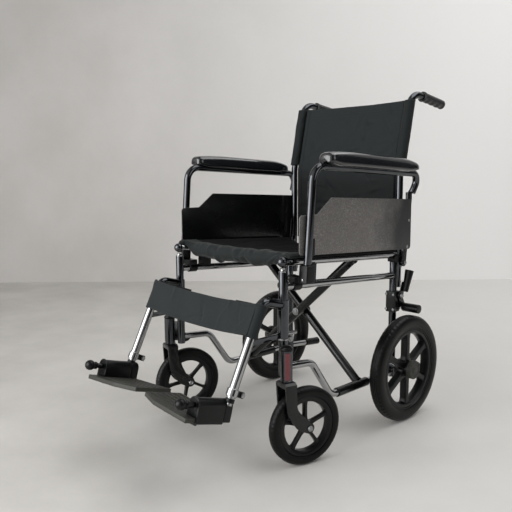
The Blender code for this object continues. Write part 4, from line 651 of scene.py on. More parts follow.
# painted shade: the back cloth goes to near black below the arm pads
paint_shade(slate_nylon, "#060809", ramp(tree, height, SHADE_START_Z, SHADE_FULL_Z, 0.0, 0.85))
print("back ramp from", SHADE_START_Z, "down to", SHADE_FULL_Z, "m")

# %% [markdown]
# ## The welded side frame
# Each side frame is two upright posts joined by a straight upper rail and a bent lower rail that
# runs on behind as the tipping lever. In front it carries the caster's housing on a short web. The
# tubes are carried circles, and every joint gets its weld bead.

# %% Sizes of the side frame
TOUCH = 0.0003
FRAME_X = 0.2056
FRONT_POST_Y = -0.449
FRONT_POST_R = 0.0108
FRONT_POST_FOOT = 0.2223
FRONT_POST_TOP = 0.478
REAR_POST_Y = 0.010
REAR_POST_R = 0.011
REAR_POST_FOOT = 0.1135
REAR_POST_TOP = 0.455
RAIL_R = 0.0095
LOWER_RAIL_Z = 0.126
LOWER_RAIL_FRONT_Z = 0.2425
LEVER_LENGTH = 0.140
LEVER_DROP = 0.0125
STEM_OUT = 0.0294
STEM_AHEAD = 0.019
STEM_X = FRAME_X + STEM_OUT
STEM_Y = FRONT_POST_Y - STEM_AHEAD
HOUSING_R = 0.015
HOUSING_FOOT = 0.2198
HOUSING_TOP = 0.2960
HANGER_FOOT_Z = 0.316
WHEEL_X = 0.259
WHEEL_R = 0.1525
SEAT_RAIL_R = 0.010
SEAT_RAIL_FRONT_Y = -0.451
SEAT_RAIL_REAR_Y = 0.0165


def upper_rail_z(y):
    """Height of the upper rail's axis, which falls 28.2 mm from post to post."""
    return 0.4429 - 0.0282 * (y - FRONT_POST_Y) / (REAR_POST_Y - FRONT_POST_Y)


def seat_rail_z(y):
    """Height of the seat rail's axis, which falls 27 mm from front to back."""
    return 0.5019 - 0.0270 * (y - SEAT_RAIL_FRONT_Y) / (SEAT_RAIL_REAR_Y - SEAT_RAIL_FRONT_Y)


print("upper rail falls to", round(upper_rail_z(REAR_POST_Y), 4))


# %% Tubes and welds of the side frame
def lever_end(side):
    """Rear end of the tipping lever's axis."""
    return np.array((side * FRAME_X, REAR_POST_Y + LEVER_LENGTH, LOWER_RAIL_Z - LEVER_DROP))


def frame_tubes(side):
    """Posts, rails and tipping lever with their weld beads."""
    x = side * FRAME_X
    front = (FRONT_POST_Y, upper_rail_z(FRONT_POST_Y))
    rear = (REAR_POST_Y, upper_rail_z(REAR_POST_Y))
    lower = bent([(x, FRONT_POST_Y, LOWER_RAIL_FRONT_Z), (x, -0.346, 0.2330), (x, -0.268, LOWER_RAIL_Z),
                  (x, REAR_POST_Y, LOWER_RAIL_Z)], 0.040)
    posts = [(FRONT_POST_Y, FRONT_POST_FOOT, FRONT_POST_TOP, FRONT_POST_R),
             (REAR_POST_Y, REAR_POST_FOOT, REAR_POST_TOP, REAR_POST_R)]
    parts = [(rod((x, y, foot), (x, y, top), radius, edge=0.0010, sides=36), black_chrome)
             for y, foot, top, radius in posts]
    parts += [(tube([(x, *front), (x, *rear)], RAIL_R), bright_chrome),
              (tube(np.vstack([lower, [lever_end(side)]]), RAIL_R, sides=36), bright_chrome)]
    onward, back, across = (0, 1, 0), (0, -1, 0), (1, 0, 0)
    seams = [((x, *front), onward, RAIL_R, FRONT_POST_R), ((x, *rear), back, RAIL_R, REAR_POST_R),
             ((x, FRONT_POST_Y, LOWER_RAIL_FRONT_Z), onward, RAIL_R, FRONT_POST_R),
             ((x, REAR_POST_Y, LOWER_RAIL_Z), back, RAIL_R, REAR_POST_R),
             ((x, REAR_POST_Y, LOWER_RAIL_Z), onward, RAIL_R, REAR_POST_R)]
    parts += [(weld(np.array(centre), along, across, radius, post), black_chrome)
              for centre, along, radius, post in seams]
    return parts


def post_fittings(side):
    """Plug with its collar in the front post's top, stop ring, axle boss and a gusset."""
    x = side * FRAME_X
    plug_foot = FRONT_POST_TOP - 0.003
    plug = [(0.0070, 0.0), (0.0104, 0.0030), (0.0104, 0.0048), (0.0096, 0.0056), (0.0074, 0.0060),
            (0.0068, 0.0085), (0.0070, 0.0112), (0.0073, 0.0128)]
    ring = HANGER_FOOT_Z - TOUCH
    boss = rod_across(0, WHEEL_R, side * 0.1931, side * 0.2372, 0.0145, edge=0.0012, sides=36)
    gusset = rounded([(-0.4395, 0.2345), (-0.4160, 0.2335), (-0.4240, 0.2255), (-0.4395, 0.2235)], 0.0015)
    return [(turned(plug, at(x, FRONT_POST_Y, plug_foot), 36), bright_chrome),
            (rod_on(at(x, FRONT_POST_Y, 0), ring - 0.004, ring, 0.0134, edge=0.0008, sides=36), zinc_steel),
            (boss, black_chrome), (slab(gusset, 0.005, side_plane(x), 0.0006), black_enamel)]


# %% Caster housing and the whole side frame
def curved_patch(x, y, low, high, radius, thickness, start, end):
    """Thin strip on a cylinder between two angles: both skins are arcs, closed round their edges."""
    angle = np.radians(np.linspace(start, end, 18))
    inner, outer = radius + 0.0001, radius + thickness
    ring = np.vstack([np.stack([r * np.cos(a), r * np.sin(a)], -1)
                      for r, a in ((outer, angle), (inner, angle[::-1]))])
    return skin(raised(np.broadcast_to(ring, (2, *ring.shape)), np.array([low, high])) + (x, y, 0))


def caster_housing(side):
    """Stem housing with turned lips, its black cap, web and reflective tape."""
    x = side * STEM_X
    lip = HOUSING_R + 0.0005
    body = [(0.0085, HOUSING_FOOT), (0.0142, HOUSING_FOOT), (lip, HOUSING_FOOT + 0.0008),
            (lip, HOUSING_FOOT + 0.0032), (HOUSING_R - 0.0003, HOUSING_FOOT + 0.0040),
            (HOUSING_R - 0.0003, HOUSING_TOP - 0.0040), (lip, HOUSING_TOP - 0.0032),
            (lip, HOUSING_TOP - 0.0008), (0.0142, HOUSING_TOP), (0.0085, HOUSING_TOP)]
    cap = [(0.0080, HOUSING_TOP), (0.0158, HOUSING_TOP + 0.0003), (0.0162, HOUSING_TOP + 0.0020),
           (0.0155, HOUSING_TOP + 0.0048), (0.0135, HOUSING_TOP + 0.0058), (0.0125, HOUSING_TOP + 0.0080),
           (0.0080, HOUSING_TOP + 0.0098)]
    away = np.degrees(np.arctan2(-STEM_AHEAD, side * STEM_OUT))
    web = block((0, -0.004, HOUSING_FOOT + 0.010), (0.0300, 0.004, HOUSING_TOP - 0.010),
                at(side * FRAME_X, FRONT_POST_Y, 0) @ turn("Z", away))
    middle = -34 if side > 0 else 214
    tape = curved_patch(x, STEM_Y, HOUSING_FOOT + 0.0050, HOUSING_TOP - 0.0050, HOUSING_R, 0.0005,
                        middle - 25, middle + 25)
    return [(turned(body, at(x, STEM_Y, 0), 48), black_chrome), (turned(cap, at(x, STEM_Y, 0), 48), nylon),
            (web, black_chrome), (tape, red_tape)]


both_sides(("welded_frame", lambda side: frame_tubes(side) + post_fittings(side) + caster_housing(side),
            "side_frame"))

# %% [markdown]
# ## Back canes, push grips and the tipping lever's sleeve
# The back cane is bolted behind the rear post, rises straight, leans back and ends in the push grip.
# Grips are soft rubber with four finger waves below and a collar in front. The sleeve on the tipping
# lever has shallow rings for the helper's foot.

# %% Back canes
CANE_R = 0.010
CANE_Y = REAR_POST_Y + REAR_POST_R + CANE_R + TOUCH
CANE_LEAN_Z = 0.720
CANE_LEAN = np.tan(np.radians(12.5))
CANE_TOP_Z = 0.938
GRIP_AIM = np.array((0, np.cos(np.radians(8.8)), -np.sin(np.radians(8.8))))
GRIP_START = 0.057
GRIP_LENGTH = 0.110
GRIP_R = 0.01375
ARM_PIVOT_Z = 0.452
ARM_X = 0.2425
ARM_R = 0.010
ARM_FOOT = (-0.4055, 0.4645)
ARM_LEAN = 0.0817
PANEL_OUT = ARM_X - ARM_R - TOUCH
PANEL_IN = PANEL_OUT - 0.004
BAR_OUT = PANEL_IN - TOUCH
BAR_IN = BAR_OUT - 0.008


def cane_y(z):
    """Y of the cane's axis at a height, without its bends."""
    return CANE_Y + np.maximum(0.0, z - CANE_LEAN_Z) * CANE_LEAN


def cane_corner(side):
    """Where the leaning cane and the grip's axis meet."""
    return np.array((side * FRAME_X, cane_y(CANE_TOP_Z), CANE_TOP_Z))


def back_cane(side):
    """Bent cane, its two bolts through the rear post and the armrest's pivot pin."""
    x = side * FRAME_X
    path = bent([(x, CANE_Y, 0.3785), (x, CANE_Y, CANE_LEAN_Z), cane_corner(side),
                 cane_corner(side) + GRIP_AIM * (GRIP_START + GRIP_LENGTH - 0.006)], 0.045)
    pin = side * (BAR_OUT + TOUCH)
    parts = [(tube(path, CANE_R, edge=0.0010, sides=36), black_chrome),
             (rod_across(CANE_Y, ARM_PIVOT_Z, x, pin, 0.004), zinc_steel),
             (rod_across(CANE_Y, ARM_PIVOT_Z, pin, pin + side * 0.004, 0.0065, edge=0.0008, sides=6),
              zinc_steel)]
    back = CANE_Y + CANE_R
    return parts + [(rod_along(x, z, back - 0.0015, back + 0.0035, 0.0060, edge=0.0008, sides=6), zinc_steel)
                    for z in (0.392, 0.437)]


# %% Push grips and tipping sleeves
def hand_grip(side):
    """Grip radius: half of 27.5 mm less a 2.8 mm wave on the lower side, eased at both ends."""
    start = cane_corner(side) + GRIP_AIM * GRIP_START
    part = np.concatenate([[0, 0.004, 0.012, 0.028], np.linspace(0.045, 0.955, 72), [0.972, 0.988, 0.996, 1]])
    wave = (0.0028 * (0.5 - 0.5 * np.cos(8 * np.pi * part)))[:, None]
    near_end = np.minimum(part, 1 - part) * GRIP_LENGTH
    rounding = 0.0022
    ease = rounding * (1 - np.sqrt(1 - (1 - np.clip(near_end / rounding, 0, 1)) ** 2))[:, None]
    collar = 0.0016 * ((part > 0.01) & (part < 0.075))[:, None]
    t = np.linspace(0, 2 * np.pi, 40, endpoint=False)
    flutes = 0.00035 * np.cos(20 * t) * (near_end > 0.010)[:, None]
    radius = GRIP_R - ease - wave * np.maximum(0, -np.sin(t)) + collar + flutes
    across = np.array((1.0, 0, 0))
    up = np.cross(across, GRIP_AIM)
    spokes = np.cos(t)[:, None] * across + np.sin(t)[:, None] * up
    return skin(start + GRIP_AIM * (part * GRIP_LENGTH)[:, None, None] + radius[..., None] * spokes)


def tipping_sleeve(side):
    """Sleeve with eight rings: radius 12 mm less 0.5 mm in each groove, domed at its end."""
    end = lever_end(side)
    along = unit(end - (side * FRAME_X, REAR_POST_Y, LOWER_RAIL_Z))
    depth = np.concatenate([[0, 0.0004, 0.0012], np.linspace(0.002, 0.064, 84), 0.070 - 0.006 * (
        1 - np.sin(np.radians([15, 35, 55, 75, 88])))])
    ring = 0.0006 * (0.5 + 0.5 * np.cos(2 * np.pi * depth / 0.0078)) * (depth > 0.004) * (depth < 0.060)
    dome = np.sqrt(np.clip(1 - (np.maximum(0, depth - 0.064) / 0.0061) ** 2, 0.02, 1))
    sizes = (0.012 - ring - 0.0005 * (depth < 0.0010)) * dome
    path = end + along * 0.006 + along * (depth - 0.070)[:, None]
    return swept(path, circle(1.0, 32), sizes=sizes)


both_sides(("back_tube", back_cane, "back_cane"), ("push_grip", hand_grip, "hand_grip", grip_rubber, 60),
           ("tipping_sleeve", tipping_sleeve, "tipping_rubber", tyre_rubber, 60))

# %% [markdown]
# ## Saddles and the armrest's cup
# The seat rails rest in black nylon saddles, cut to the round of the rails. The armrest's front leg
# drops into a cup that is clipped to the upper rail. Each is an outline with arcs where a rail lies,
# given a thickness, with soft moulded edges.

# %% Saddles
def front_saddle(side):
    """Block between the upper rail and the seat rail with a bed for each."""
    x, y = side * FRAME_X, -0.357
    middle = (upper_rail_z(y) + seat_rail_z(y)) / 2
    low, high = upper_rail_z(y) - middle, seat_rail_z(y) - middle
    outline = np.vstack([
        [(-0.012, high - 0.0065), (-0.012, low + 0.0060), (-0.0088, low + 0.0060)],
        arc((0, low), RAIL_R + TOUCH, 140, 40),
        [(0.0088, low + 0.0060), (0.012, low + 0.0060), (0.012, high - 0.0065), (0.0090, high - 0.0065)],
        arc((0, high), SEAT_RAIL_R + TOUCH, -42, -138), [(-0.0090, high - 0.0065)]])
    seat = at(x, y, middle) @ turn("X", 90 - 3.4)
    boss = rod_across(y, middle, x + side * 0.0115, x + side * 0.0145, 0.0050, edge=0.0010)
    return [(slab(outline, 0.030, seat, 0.0009), nylon), (boss, zinc_steel)]


def rear_rest(side):
    """Block on the rear post's top with the seat rail's bed in it."""
    x = side * FRAME_X
    top = seat_rail_z(REAR_POST_Y)
    outline = np.vstack([
        [(-0.0135, top - 0.001), (-0.0135, REAR_POST_TOP + TOUCH), (0.0135, REAR_POST_TOP + TOUCH),
         (0.0135, top - 0.001), (0.0108, top - 0.001)],
        arc((0, top), SEAT_RAIL_R + TOUCH, -12, -168, 19), [(-0.0108, top - 0.001)]])
    return [(slab(outline, 0.021, at(x, REAR_POST_Y, 0) @ turn("X", 90), 0.0010), nylon)]


# %% The armrest's cup
def arm_cup(side):
    """Open cup: rounded rectangles stacked up the outside and down the inside, with clip and screw."""
    x, y0 = side * ARM_X, ARM_FOOT[0]

    def ring(half_x, half_y, z):
        """Rounded rectangle at a height, which leans as the armrest's leg does."""
        corners = [(-half_x, -half_y), (half_x, -half_y), (half_x, half_y), (-half_x, half_y)]
        flat = rounded(corners, 0.0035, 18) + (x, y0 + ARM_LEAN * (z - ARM_FOOT[1]))
        return np.hstack([flat, np.full((len(flat), 1), z)])

    foot, floor, top = 0.4510, 0.4632, 0.4934
    steps = [(0.0130, foot), (0.0140, foot + 0.001), (0.0140, top - 0.001), (0.0130, top), (0.0118, top),
             (0.0112, top - 0.001), (0.0112, floor)]
    rings = [ring(half, half + 0.001, z) for half, z in steps]
    clip = rod((side * FRAME_X, y0 - 0.013, upper_rail_z(y0 - 0.013)),
               (side * FRAME_X, y0 + 0.013, upper_rail_z(y0 + 0.013)), 0.0125, edge=0.0012, sides=36)
    arm = block((side * (FRAME_X - 0.0105), y0 - 0.013, upper_rail_z(y0) + 0.0080),
                (side * (ARM_X - 0.0120), y0 + 0.013, 0.4634), edge=0.0016)
    screw = rod_along(x, 0.4585, y0 - 0.0140, y0 - 0.0170, 0.0036, edge=0.0012)
    return [(skin(np.array(rings)), nylon), (clip, nylon), (arm, nylon), (screw, zinc_steel)]


both_sides(("front_rest", front_saddle, "front_saddle"), ("rear_rest", rear_rest, "rear_saddle"),
           ("arm_cup", arm_cup, "arm_socket"))

# %% [markdown]
# ## Rear wheels
# A 12 inch transit wheel is a solid rubber tyre on a moulded rim with six broad spokes. Tyre and rim
# ring are closed profiles turned about the axle. A spoke is a stack of rounded rectangles that grow
# wider where they run into the ring and the hub, as moulded spokes do.

# %% Wheels as turned profiles
def wheel_seat(side, out=0.0):
    """Frame of a rear wheel: its Z runs outwards along the axle."""
    return at(side * (WHEEL_X + out), 0, WHEEL_R) @ turn("Y", side * 90)


def tyre_profile(tread, seat, half, crown, shoulder, grooves):
    """Closed section of a tyre: flat crown with grooves, round shoulders, a bead line at its foot."""
    depth = tread - seat
    dips = [(tread - d, z * half) for z in grooves for d, z in ((0, z - 0.05), (0.0012, z), (0, z + 0.05))]
    top = [(tread - 0.004 * depth, -crown * half), *dips, (tread - 0.004 * depth, crown * half)]
    side_line = [(tread - shoulder * depth, 0.88 * half), (tread - 0.52 * depth, half),
                 (seat + 0.16 * depth, 0.95 * half), (seat + 0.11 * depth, 0.90 * half),
                 (seat + 0.05 * depth, 0.91 * half), (seat, 0.86 * half)]
    other = [(r, -z) for r, z in side_line[::-1]]
    return smooth_line(np.array([*other, *top, *side_line]))


def tyre(section, seat, tread, half, blocks, steps, depth=0.0011):
    """Closed section turned about the axle, with notches between blocks sunk into both shoulders."""
    radius, height = section.T
    t = np.arange(steps) * 2 * np.pi / steps
    near_tread = smooth_step((radius - tread + 0.0065) / 0.003)
    on_shoulder = smooth_step((np.abs(height) / half - 0.36) / 0.12)
    offset = np.where(height > 0, 0.0, np.pi)[:, None]
    notch = smooth_step((np.cos(blocks * t + offset) - 0.35) / 0.3)
    sunk = radius[:, None] - depth * (near_tread * on_shoulder)[:, None] * notch
    grid = np.stack([sunk * np.cos(t), sunk * np.sin(t), np.broadcast_to(height[:, None], sunk.shape)], -1)
    return skin(carried(seat, grid), looped=True)


def smooth_line(points, cuts=2):
    """Open line through the points after rounds of corner cutting, ends kept."""
    for _ in range(cuts):
        near, far = 0.75 * points[:-1] + 0.25 * points[1:], 0.25 * points[:-1] + 0.75 * points[1:]
        points = np.vstack([points[:1], np.stack([near, far], 1).reshape(-1, 2)[1:-1], points[-1:]])
    return points


def spoke(seat, angle, start, end, width, depth, flare, slim):
    """Rounded rectangles along a spoke: half width plus a flare f (1 - sqrt(1 - k^2)) at both ends."""
    reach = np.linspace(start, end, 22)
    near = np.clip(1 - (reach - start) / 0.020, 0, 1)
    far = np.clip(1 - (end - reach) / 0.020, 0, 1)
    grow = flare * ((1 - np.sqrt(1 - 0.96 * near ** 2)) + (1 - np.sqrt(1 - 0.96 * far ** 2)))
    half = width / 2 * (1 - slim * (reach - start) / (end - start)) + grow
    corner = rounded([(-1, -1), (1, -1), (1, 1), (-1, 1)], 0.30, 22)
    flat = corner * np.stack([half, np.full_like(half, depth / 2)], -1)[:, None]
    grid = np.concatenate([np.broadcast_to(reach[:, None, None], (*flat.shape[:2], 1)), flat], -1)
    return skin(carried(seat @ turn("Z", angle), grid))


# %% Rear wheels
RIM_R = 0.118
HUB_WIDTH = 0.042
TYRE_HALF = 0.0194


def rear_tyre(side):
    """Solid rubber with three grooves round it and 66 notches in each shoulder."""
    section = tyre_profile(WHEEL_R, RIM_R + TOUCH, TYRE_HALF, 0.50, 0.16, (-0.30, 0.0, 0.30))
    return tyre(section, wheel_seat(side), WHEEL_R, TYRE_HALF, 66, 396)


def rear_rim(side):
    """Ring with a hollow inner face, six spokes, hub with a raised collar."""
    seat = wheel_seat(side)
    ring = [(0.1180, 0.0150), (0.1180, -0.0150), (0.1172, -0.0158), (0.1150, -0.0158), (0.1138, -0.0135),
            (0.1070, -0.0150), (0.1040, -0.0140), (0.1002, -0.0050), (0.1000, 0.0), (0.1002, 0.0050),
            (0.1040, 0.0140), (0.1070, 0.0150), (0.1138, 0.0135), (0.1150, 0.0158), (0.1172, 0.0158)]
    hub = bush(0.0070, 0.0225, 0.0235, -HUB_WIDTH / 2, HUB_WIDTH / 2, 0.0010)
    parts = [(turned(ring, seat, 120, looped=True), nylon), (turned(hub, seat, 48), nylon)]
    return parts + [(spoke(seat, 60 * i, 0.0190, 0.1050, 0.0170, 0.0220, 0.0105, 0.14), nylon)
                    for i in range(6)]


def hub_cover(side):
    """Grey cap over the axle nut: stepped rim, sunk face and a low boss in its middle."""
    cap = [(0.0180, 0.0), (0.0265, 0.0), (0.0265, 0.0100), (0.0258, 0.0122), (0.0240, 0.0132),
           (0.0215, 0.0136), (0.0205, 0.0130), (0.0200, 0.0120), (0.0100, 0.0118), (0.0092, 0.0124),
           (0.0084, 0.0136), (0.0070, 0.0140), (0.0010, 0.0141)]
    return turned(cap, wheel_seat(side, HUB_WIDTH / 2 + TOUCH), 60)


def axle_bolt(side):
    """Shank, bolt head and washer inside the frame, and the nut under the cap."""
    spans = [(0.1925, 0.2885, 0.0060, 28), (0.1868, 0.1928, 0.0095, 6), (0.1918, 0.1931, 0.0125, 32),
             (0.2808, 0.2868, 0.0095, 6)]
    return [(rod_across(0, WHEEL_R, side * start, side * end, radius, edge=0.0007, sides=sides), zinc_steel)
            for start, end, radius, sides in spans]


both_sides(("rear_tyre_look", rear_tyre, "rear_tyre", tyre_rubber, 50),
           ("spoked_rim", rear_rim, "rear_rim"), ("hub_cover", hub_cover, "rear_hub_cap", grey_plastic, 38),
           ("axle_bolt", axle_bolt, "rear_axle"))

# %% [markdown]
# ## Front casters
# Each caster swivels in its housing: a fork with a bridge over the wheel and two blades that sweep
# back to the axle. The fork is thick enamelled plate with rounded edges. The wheel is turned like
# the rear one, with five slim spokes.

# %% Caster forks
CASTER_R = 0.0985
CASTER_TRAIL = 0.052
CASTER_TURN = 15.2
CASTER_SPIN = {1: 0.0, -1: 25.0}
CROWN_Z = 2 * CASTER_R + 0.008
CROWN_TOP = CROWN_Z + 0.0145
CASTER_TYRE_HALF = 0.0142
BLADE = 0.0065
BLADE_X = CASTER_TYRE_HALF + 0.0045 + BLADE / 2


def caster_seat(side):
    """Frame of a swivelled caster: on the stem's axis at floor height, Y along the trail."""
    return at(side * STEM_X, STEM_Y, 0) @ turn("Z", -CASTER_TURN)


def hub_seat(side):
    """Frame of a caster wheel: its Z runs along the axle."""
    return caster_seat(side) @ at(0, CASTER_TRAIL, CASTER_R) @ turn("Y", 90)


def blade_outline():
    """Blade seen from the side: swept front edge, round eye at the axle, hollow rear edge."""
    eye, front = 0.0130, 0.0155
    low = np.array((CASTER_TRAIL, CASTER_R))
    front_edge = bent([(-front, CROWN_Z + 0.004), (-front + 0.004, CASTER_R + 0.045),
                       (0.018, CASTER_R + 0.001), (low[0] - 0.004, low[1] - eye)], 0.040)
    rear_edge = bent([*arc(low, eye, 70, 70, 1), (0.0165, CASTER_R + 0.052),
                      (front - 0.001, CROWN_Z + 0.004)], 0.035)
    return np.vstack([front_edge, arc(low, eye, -80, 60, 15), rear_edge])


def caster_fork(side):
    """Bridge with chamfered shoulders, two blades and the stem in its bearing."""
    seat = caster_seat(side)
    half = BLADE_X + BLADE / 2
    bridge = rounded([(-half, CROWN_Z), (half, CROWN_Z), (half, CROWN_TOP - 0.006),
                      (half - 0.008, CROWN_TOP - 0.0004), (-half + 0.008, CROWN_TOP - 0.0004),
                      (-half, CROWN_TOP - 0.006)], 0.0025)
    parts = [(slab(bridge, 0.031, seat @ turn("X", 90), 0.0020), black_enamel),
             (rod_on(seat, CROWN_TOP - 0.002, HOUSING_TOP - 0.018, 0.006), zinc_steel)]
    return parts + [(slab(blade_outline(), BLADE, seat @ side_plane(sign * BLADE_X), 0.0016), black_enamel)
                    for sign in (-1, 1)]


def caster_bolt(side):
    """Domed head with a slot ring on one end, nut on the other."""
    seat = hub_seat(side)
    face = BLADE_X + BLADE / 2 + TOUCH
    dome = [(0.0040, face), (0.0072, face), (0.0072, face + 0.0018), (0.0062, face + 0.0036),
            (0.0040, face + 0.0046), (0.0034, face + 0.0040), (0.0006, face + 0.0038)]
    return [(rod_on(seat, -face - 0.004, face + 0.001, 0.004), zinc_steel),
            (turned(dome, seat, 32), zinc_steel),
            (rod_on(seat, -face, -face - 0.0048, 0.0072, 0.0064, edge=0.0007, sides=6), zinc_steel)]


def caster_tyre(side):
    """Solid rubber with two grooves round it and 56 shallow notches in each shoulder."""
    section = tyre_profile(CASTER_R, 0.0763, CASTER_TYRE_HALF, 0.46, 0.22, (-0.24, 0.24))
    return tyre(section, hub_seat(side), CASTER_R, CASTER_TYRE_HALF, 56, 336, 0.0006)


def caster_rim(side):
    """Ring, five slim spokes and hub."""
    seat = hub_seat(side)
    ring = [(0.0760, 0.0110), (0.0760, -0.0110), (0.0745, -0.0118), (0.0720, -0.0112), (0.0650, -0.0104),
            (0.0622, -0.0080), (0.0606, 0.0), (0.0622, 0.0080), (0.0650, 0.0104), (0.0720, 0.0112),
            (0.0745, 0.0118)]
    hub = bush(0.0048, 0.0140, 0.0150, -0.0170, 0.0170, 0.0010)
    parts = [(turned(ring, seat, 96, looped=True), nylon), (turned(hub, seat, 40), nylon)]
    return parts + [(spoke(seat, 180 + CASTER_SPIN[side] + 72 * i, 0.0105, 0.0650, 0.0085, 0.0130, 0.0060,
                           0.15), nylon) for i in range(5)]


both_sides(("swivel_fork", caster_fork, "caster_fork", None, 45), ("caster_bolt", caster_bolt, "caster_axle"),
           ("caster_band", caster_tyre, "caster_tyre", tyre_rubber, 50),
           ("caster_core", caster_rim, "caster_rim"))

# %% [markdown]
# ## Armrests
# The armrest flips back about a pin on the cane: one bent tube, a flat bar down to the pin, a thin
# moulded skirt panel and a pad. The pad is foam with a sealed skin, moulded to sit astride the
# tube, so it is one crowned form that is blunt in front and rounds off all round.

# %% Armrest tube, bar and clip
ARM_FRONT_TOP = (-0.3838, 0.7300)
ARM_REAR_TOP = (0.0755, 0.7062)
ARM_REAR_END = (0.0520, 0.6520)
PANEL_REAR_TOP_Z = 0.634


def arm_tube(side):
    """Bent tube, flat bar to the pivot, the clip that holds the panel and a thin stay in the bend."""
    x = side * ARM_X
    middle = (np.array(ARM_FRONT_TOP) + ARM_REAR_TOP) / 2
    front = bent([(x, *ARM_FOOT), (x, *ARM_FRONT_TOP), (x, *middle)], 0.040)
    rear = bent([(x, *middle), (x, *ARM_REAR_TOP), (side * (BAR_OUT + 0.006), *ARM_REAR_END)], 0.026)
    y = ARM_REAR_END[0]
    bar = np.vstack([arc((CANE_Y, ARM_PIVOT_Z), 0.011, 150, 390, 21),
                     [(y + 0.011, PANEL_REAR_TOP_Z), (y + 0.011, 0.654), (y - 0.011, 0.654),
                      (y - 0.011, PANEL_REAR_TOP_Z)]])
    clip_y = ARM_FOOT[0] + ARM_LEAN * (0.535 - ARM_FOOT[1])
    clip = block((side * (PANEL_OUT + 0.0002), clip_y + 0.002, 0.514),
                 (side * (ARM_X + 0.003), clip_y + 0.0215, 0.556), edge=0.0014)
    stay = rod((x, 0.0660, 0.6945), (side * (BAR_OUT - 0.002), 0.0445, 0.6530), 0.0017)
    return [(tube(np.vstack([front[:-1], rear[1:]]), ARM_R, edge=0.0010, sides=36), black_chrome),
            (stay, black_chrome),
            (slab(bar, 0.008, side_plane(side * (BAR_IN + BAR_OUT) / 2), 0.0012), black_enamel),
            (clip, nylon)]


def skirt_panel(side):
    """Thin moulded panel, grained outside and smooth inside, with a step in front and two screws."""
    outline = rounded([(-0.302, 0.651), (-0.355, 0.612), (-0.420, 0.612), (-0.420, 0.516),
                       (0.054, 0.4905), (0.054, PANEL_REAR_TOP_Z)], 0.010, 12)
    parts = [(slab(outline, 0.0024, side_plane(side * (PANEL_OUT - 0.0012)), 0.0008), panel_plastic),
             (slab(outline, 0.0018, side_plane(side * (PANEL_IN + 0.0009)), 0.0008), black_enamel)]
    screw = [(0.0010, 0.0012), (0.0030, 0.0011), (0.0042, 0.0004), (0.0044, -0.0002), (0.0010, -0.0003)]
    outer_face = side_plane(side * PANEL_OUT) @ np.diag((1.0, 1.0, side, 1.0))
    return parts + [(turned(screw, outer_face @ at(y, z, 0), 20), zinc_steel)
                    for y, z in ((0.044, 0.574), (0.037, 0.499))]


# %% Arm pads
PAD_FRONT_Y = -0.353
PAD_REAR_Y = 0.032
PAD_HALF = 0.0235
PAD_HEIGHT = 0.0285
PAD_OUT = 0.0085


def arm_pad(side):
    """Crowned pad: at each station a superellipse-like section, narrower in a blunt nose at both ends."""
    slope = (ARM_REAR_TOP[1] - ARM_FRONT_TOP[1]) / (ARM_REAR_TOP[0] - ARM_FRONT_TOP[0])
    length = PAD_REAR_Y - PAD_FRONT_Y
    part = 0.5 - 0.5 * np.cos(np.linspace(0.02, np.pi - 0.02, 66))
    near = np.minimum(part, 1 - part) * length
    nose = np.sqrt(np.clip(1 - np.clip(1 - near / 0.0200, 0, 1) ** 3.0, 0, 1))
    dip = 1 - 0.17 * np.clip(1 - part * length / 0.110, 0, 1) ** 2 - 0.42 * np.clip(
        1 - (1 - part) * length / 0.075, 0, 1) ** 2.2
    skirt = 0.0020 + 0.0070 * np.minimum(1.0, near / 0.045)
    y = PAD_FRONT_Y + length * part
    low = ARM_FRONT_TOP[1] + slope * (y - ARM_FRONT_TOP[0]) + ARM_R + TOUCH - skirt
    width = PAD_HALF * (0.45 + 0.55 * nose)
    height = skirt + PAD_HEIGHT * dip * (0.50 + 0.44 * nose + 0.06 * np.sin(np.pi * part ** 0.6))
    t = np.linspace(0, 2 * np.pi, 56, endpoint=False)
    a = np.sign(np.cos(t)) * np.abs(np.cos(t)) ** 0.62
    b = 0.5 + 0.5 * np.sign(np.sin(t)) * np.abs(np.sin(t)) ** np.where(np.sin(t) > 0, 0.78, 0.34)
    b = np.where(np.sin(t) < 0, 0.30 * b / 0.5, 0.30 + 0.70 * (b - 0.5) / 0.5)
    undercut = 1 - 0.06 * np.clip(1 - b / 0.16, 0, 1)
    grid = np.stack([side * (ARM_X + PAD_OUT) + width[:, None] * a * undercut,
                     np.broadcast_to(y[:, None], (len(y), len(t))),
                     low[:, None] + height[:, None] * b], -1)
    return skin(grid)


for word, side in SIDES.items():
    piece(f"arm_tube_{word}", arm_tube(side), [f"arm_frame_{word}"])
    piece(f"side_panel_{word}", skirt_panel(side), [f"skirt_panel_{word}"])
    pad = piece(f"arm_cushion_{word}", [(arm_pad(side), pad_skin)], [f"arm_pad_{word}"], smooth=80)

# %% [markdown]
# ## Brakes
# A push-to-lock brake hangs on a clamp round the rear post: two half shells drawn together by
# bolts, a pressed cheek with the pivot, a lever in a flared plastic sleeve and a bar that presses on
# the tyre. The sleeve is hollow at its wide end, so its profile runs over the lip and back inside.

# %% Brake clamp
CLAMP_FOOT = 2 * WHEEL_R + 0.004
CLAMP_HEIGHT = 0.061
CLAMP_TOP = CLAMP_FOOT + CLAMP_HEIGHT
CLAMP_HALF = 0.0135
BRAKE_Y = 0.0156
BRAKE_Z = 2 * WHEEL_R + 0.0524
BRAKE_GAP = 0.0005
BRAKE_PLATE = 0.0035
BRAKE_TILT = 18.7
CHEEK_OUT = FRAME_X + CLAMP_HALF + 0.004
SHOE_IN = CHEEK_OUT + BRAKE_GAP
SHOE_OUT = SHOE_IN + BRAKE_PLATE
LEVER_IN = SHOE_OUT + BRAKE_GAP
LEVER_OUT = LEVER_IN + BRAKE_PLATE
SHOE_Y = 0.035
SHOE_Z = WHEEL_R + np.sqrt((WHEEL_R + 0.0125 + 0.0074) ** 2 - SHOE_Y ** 2)


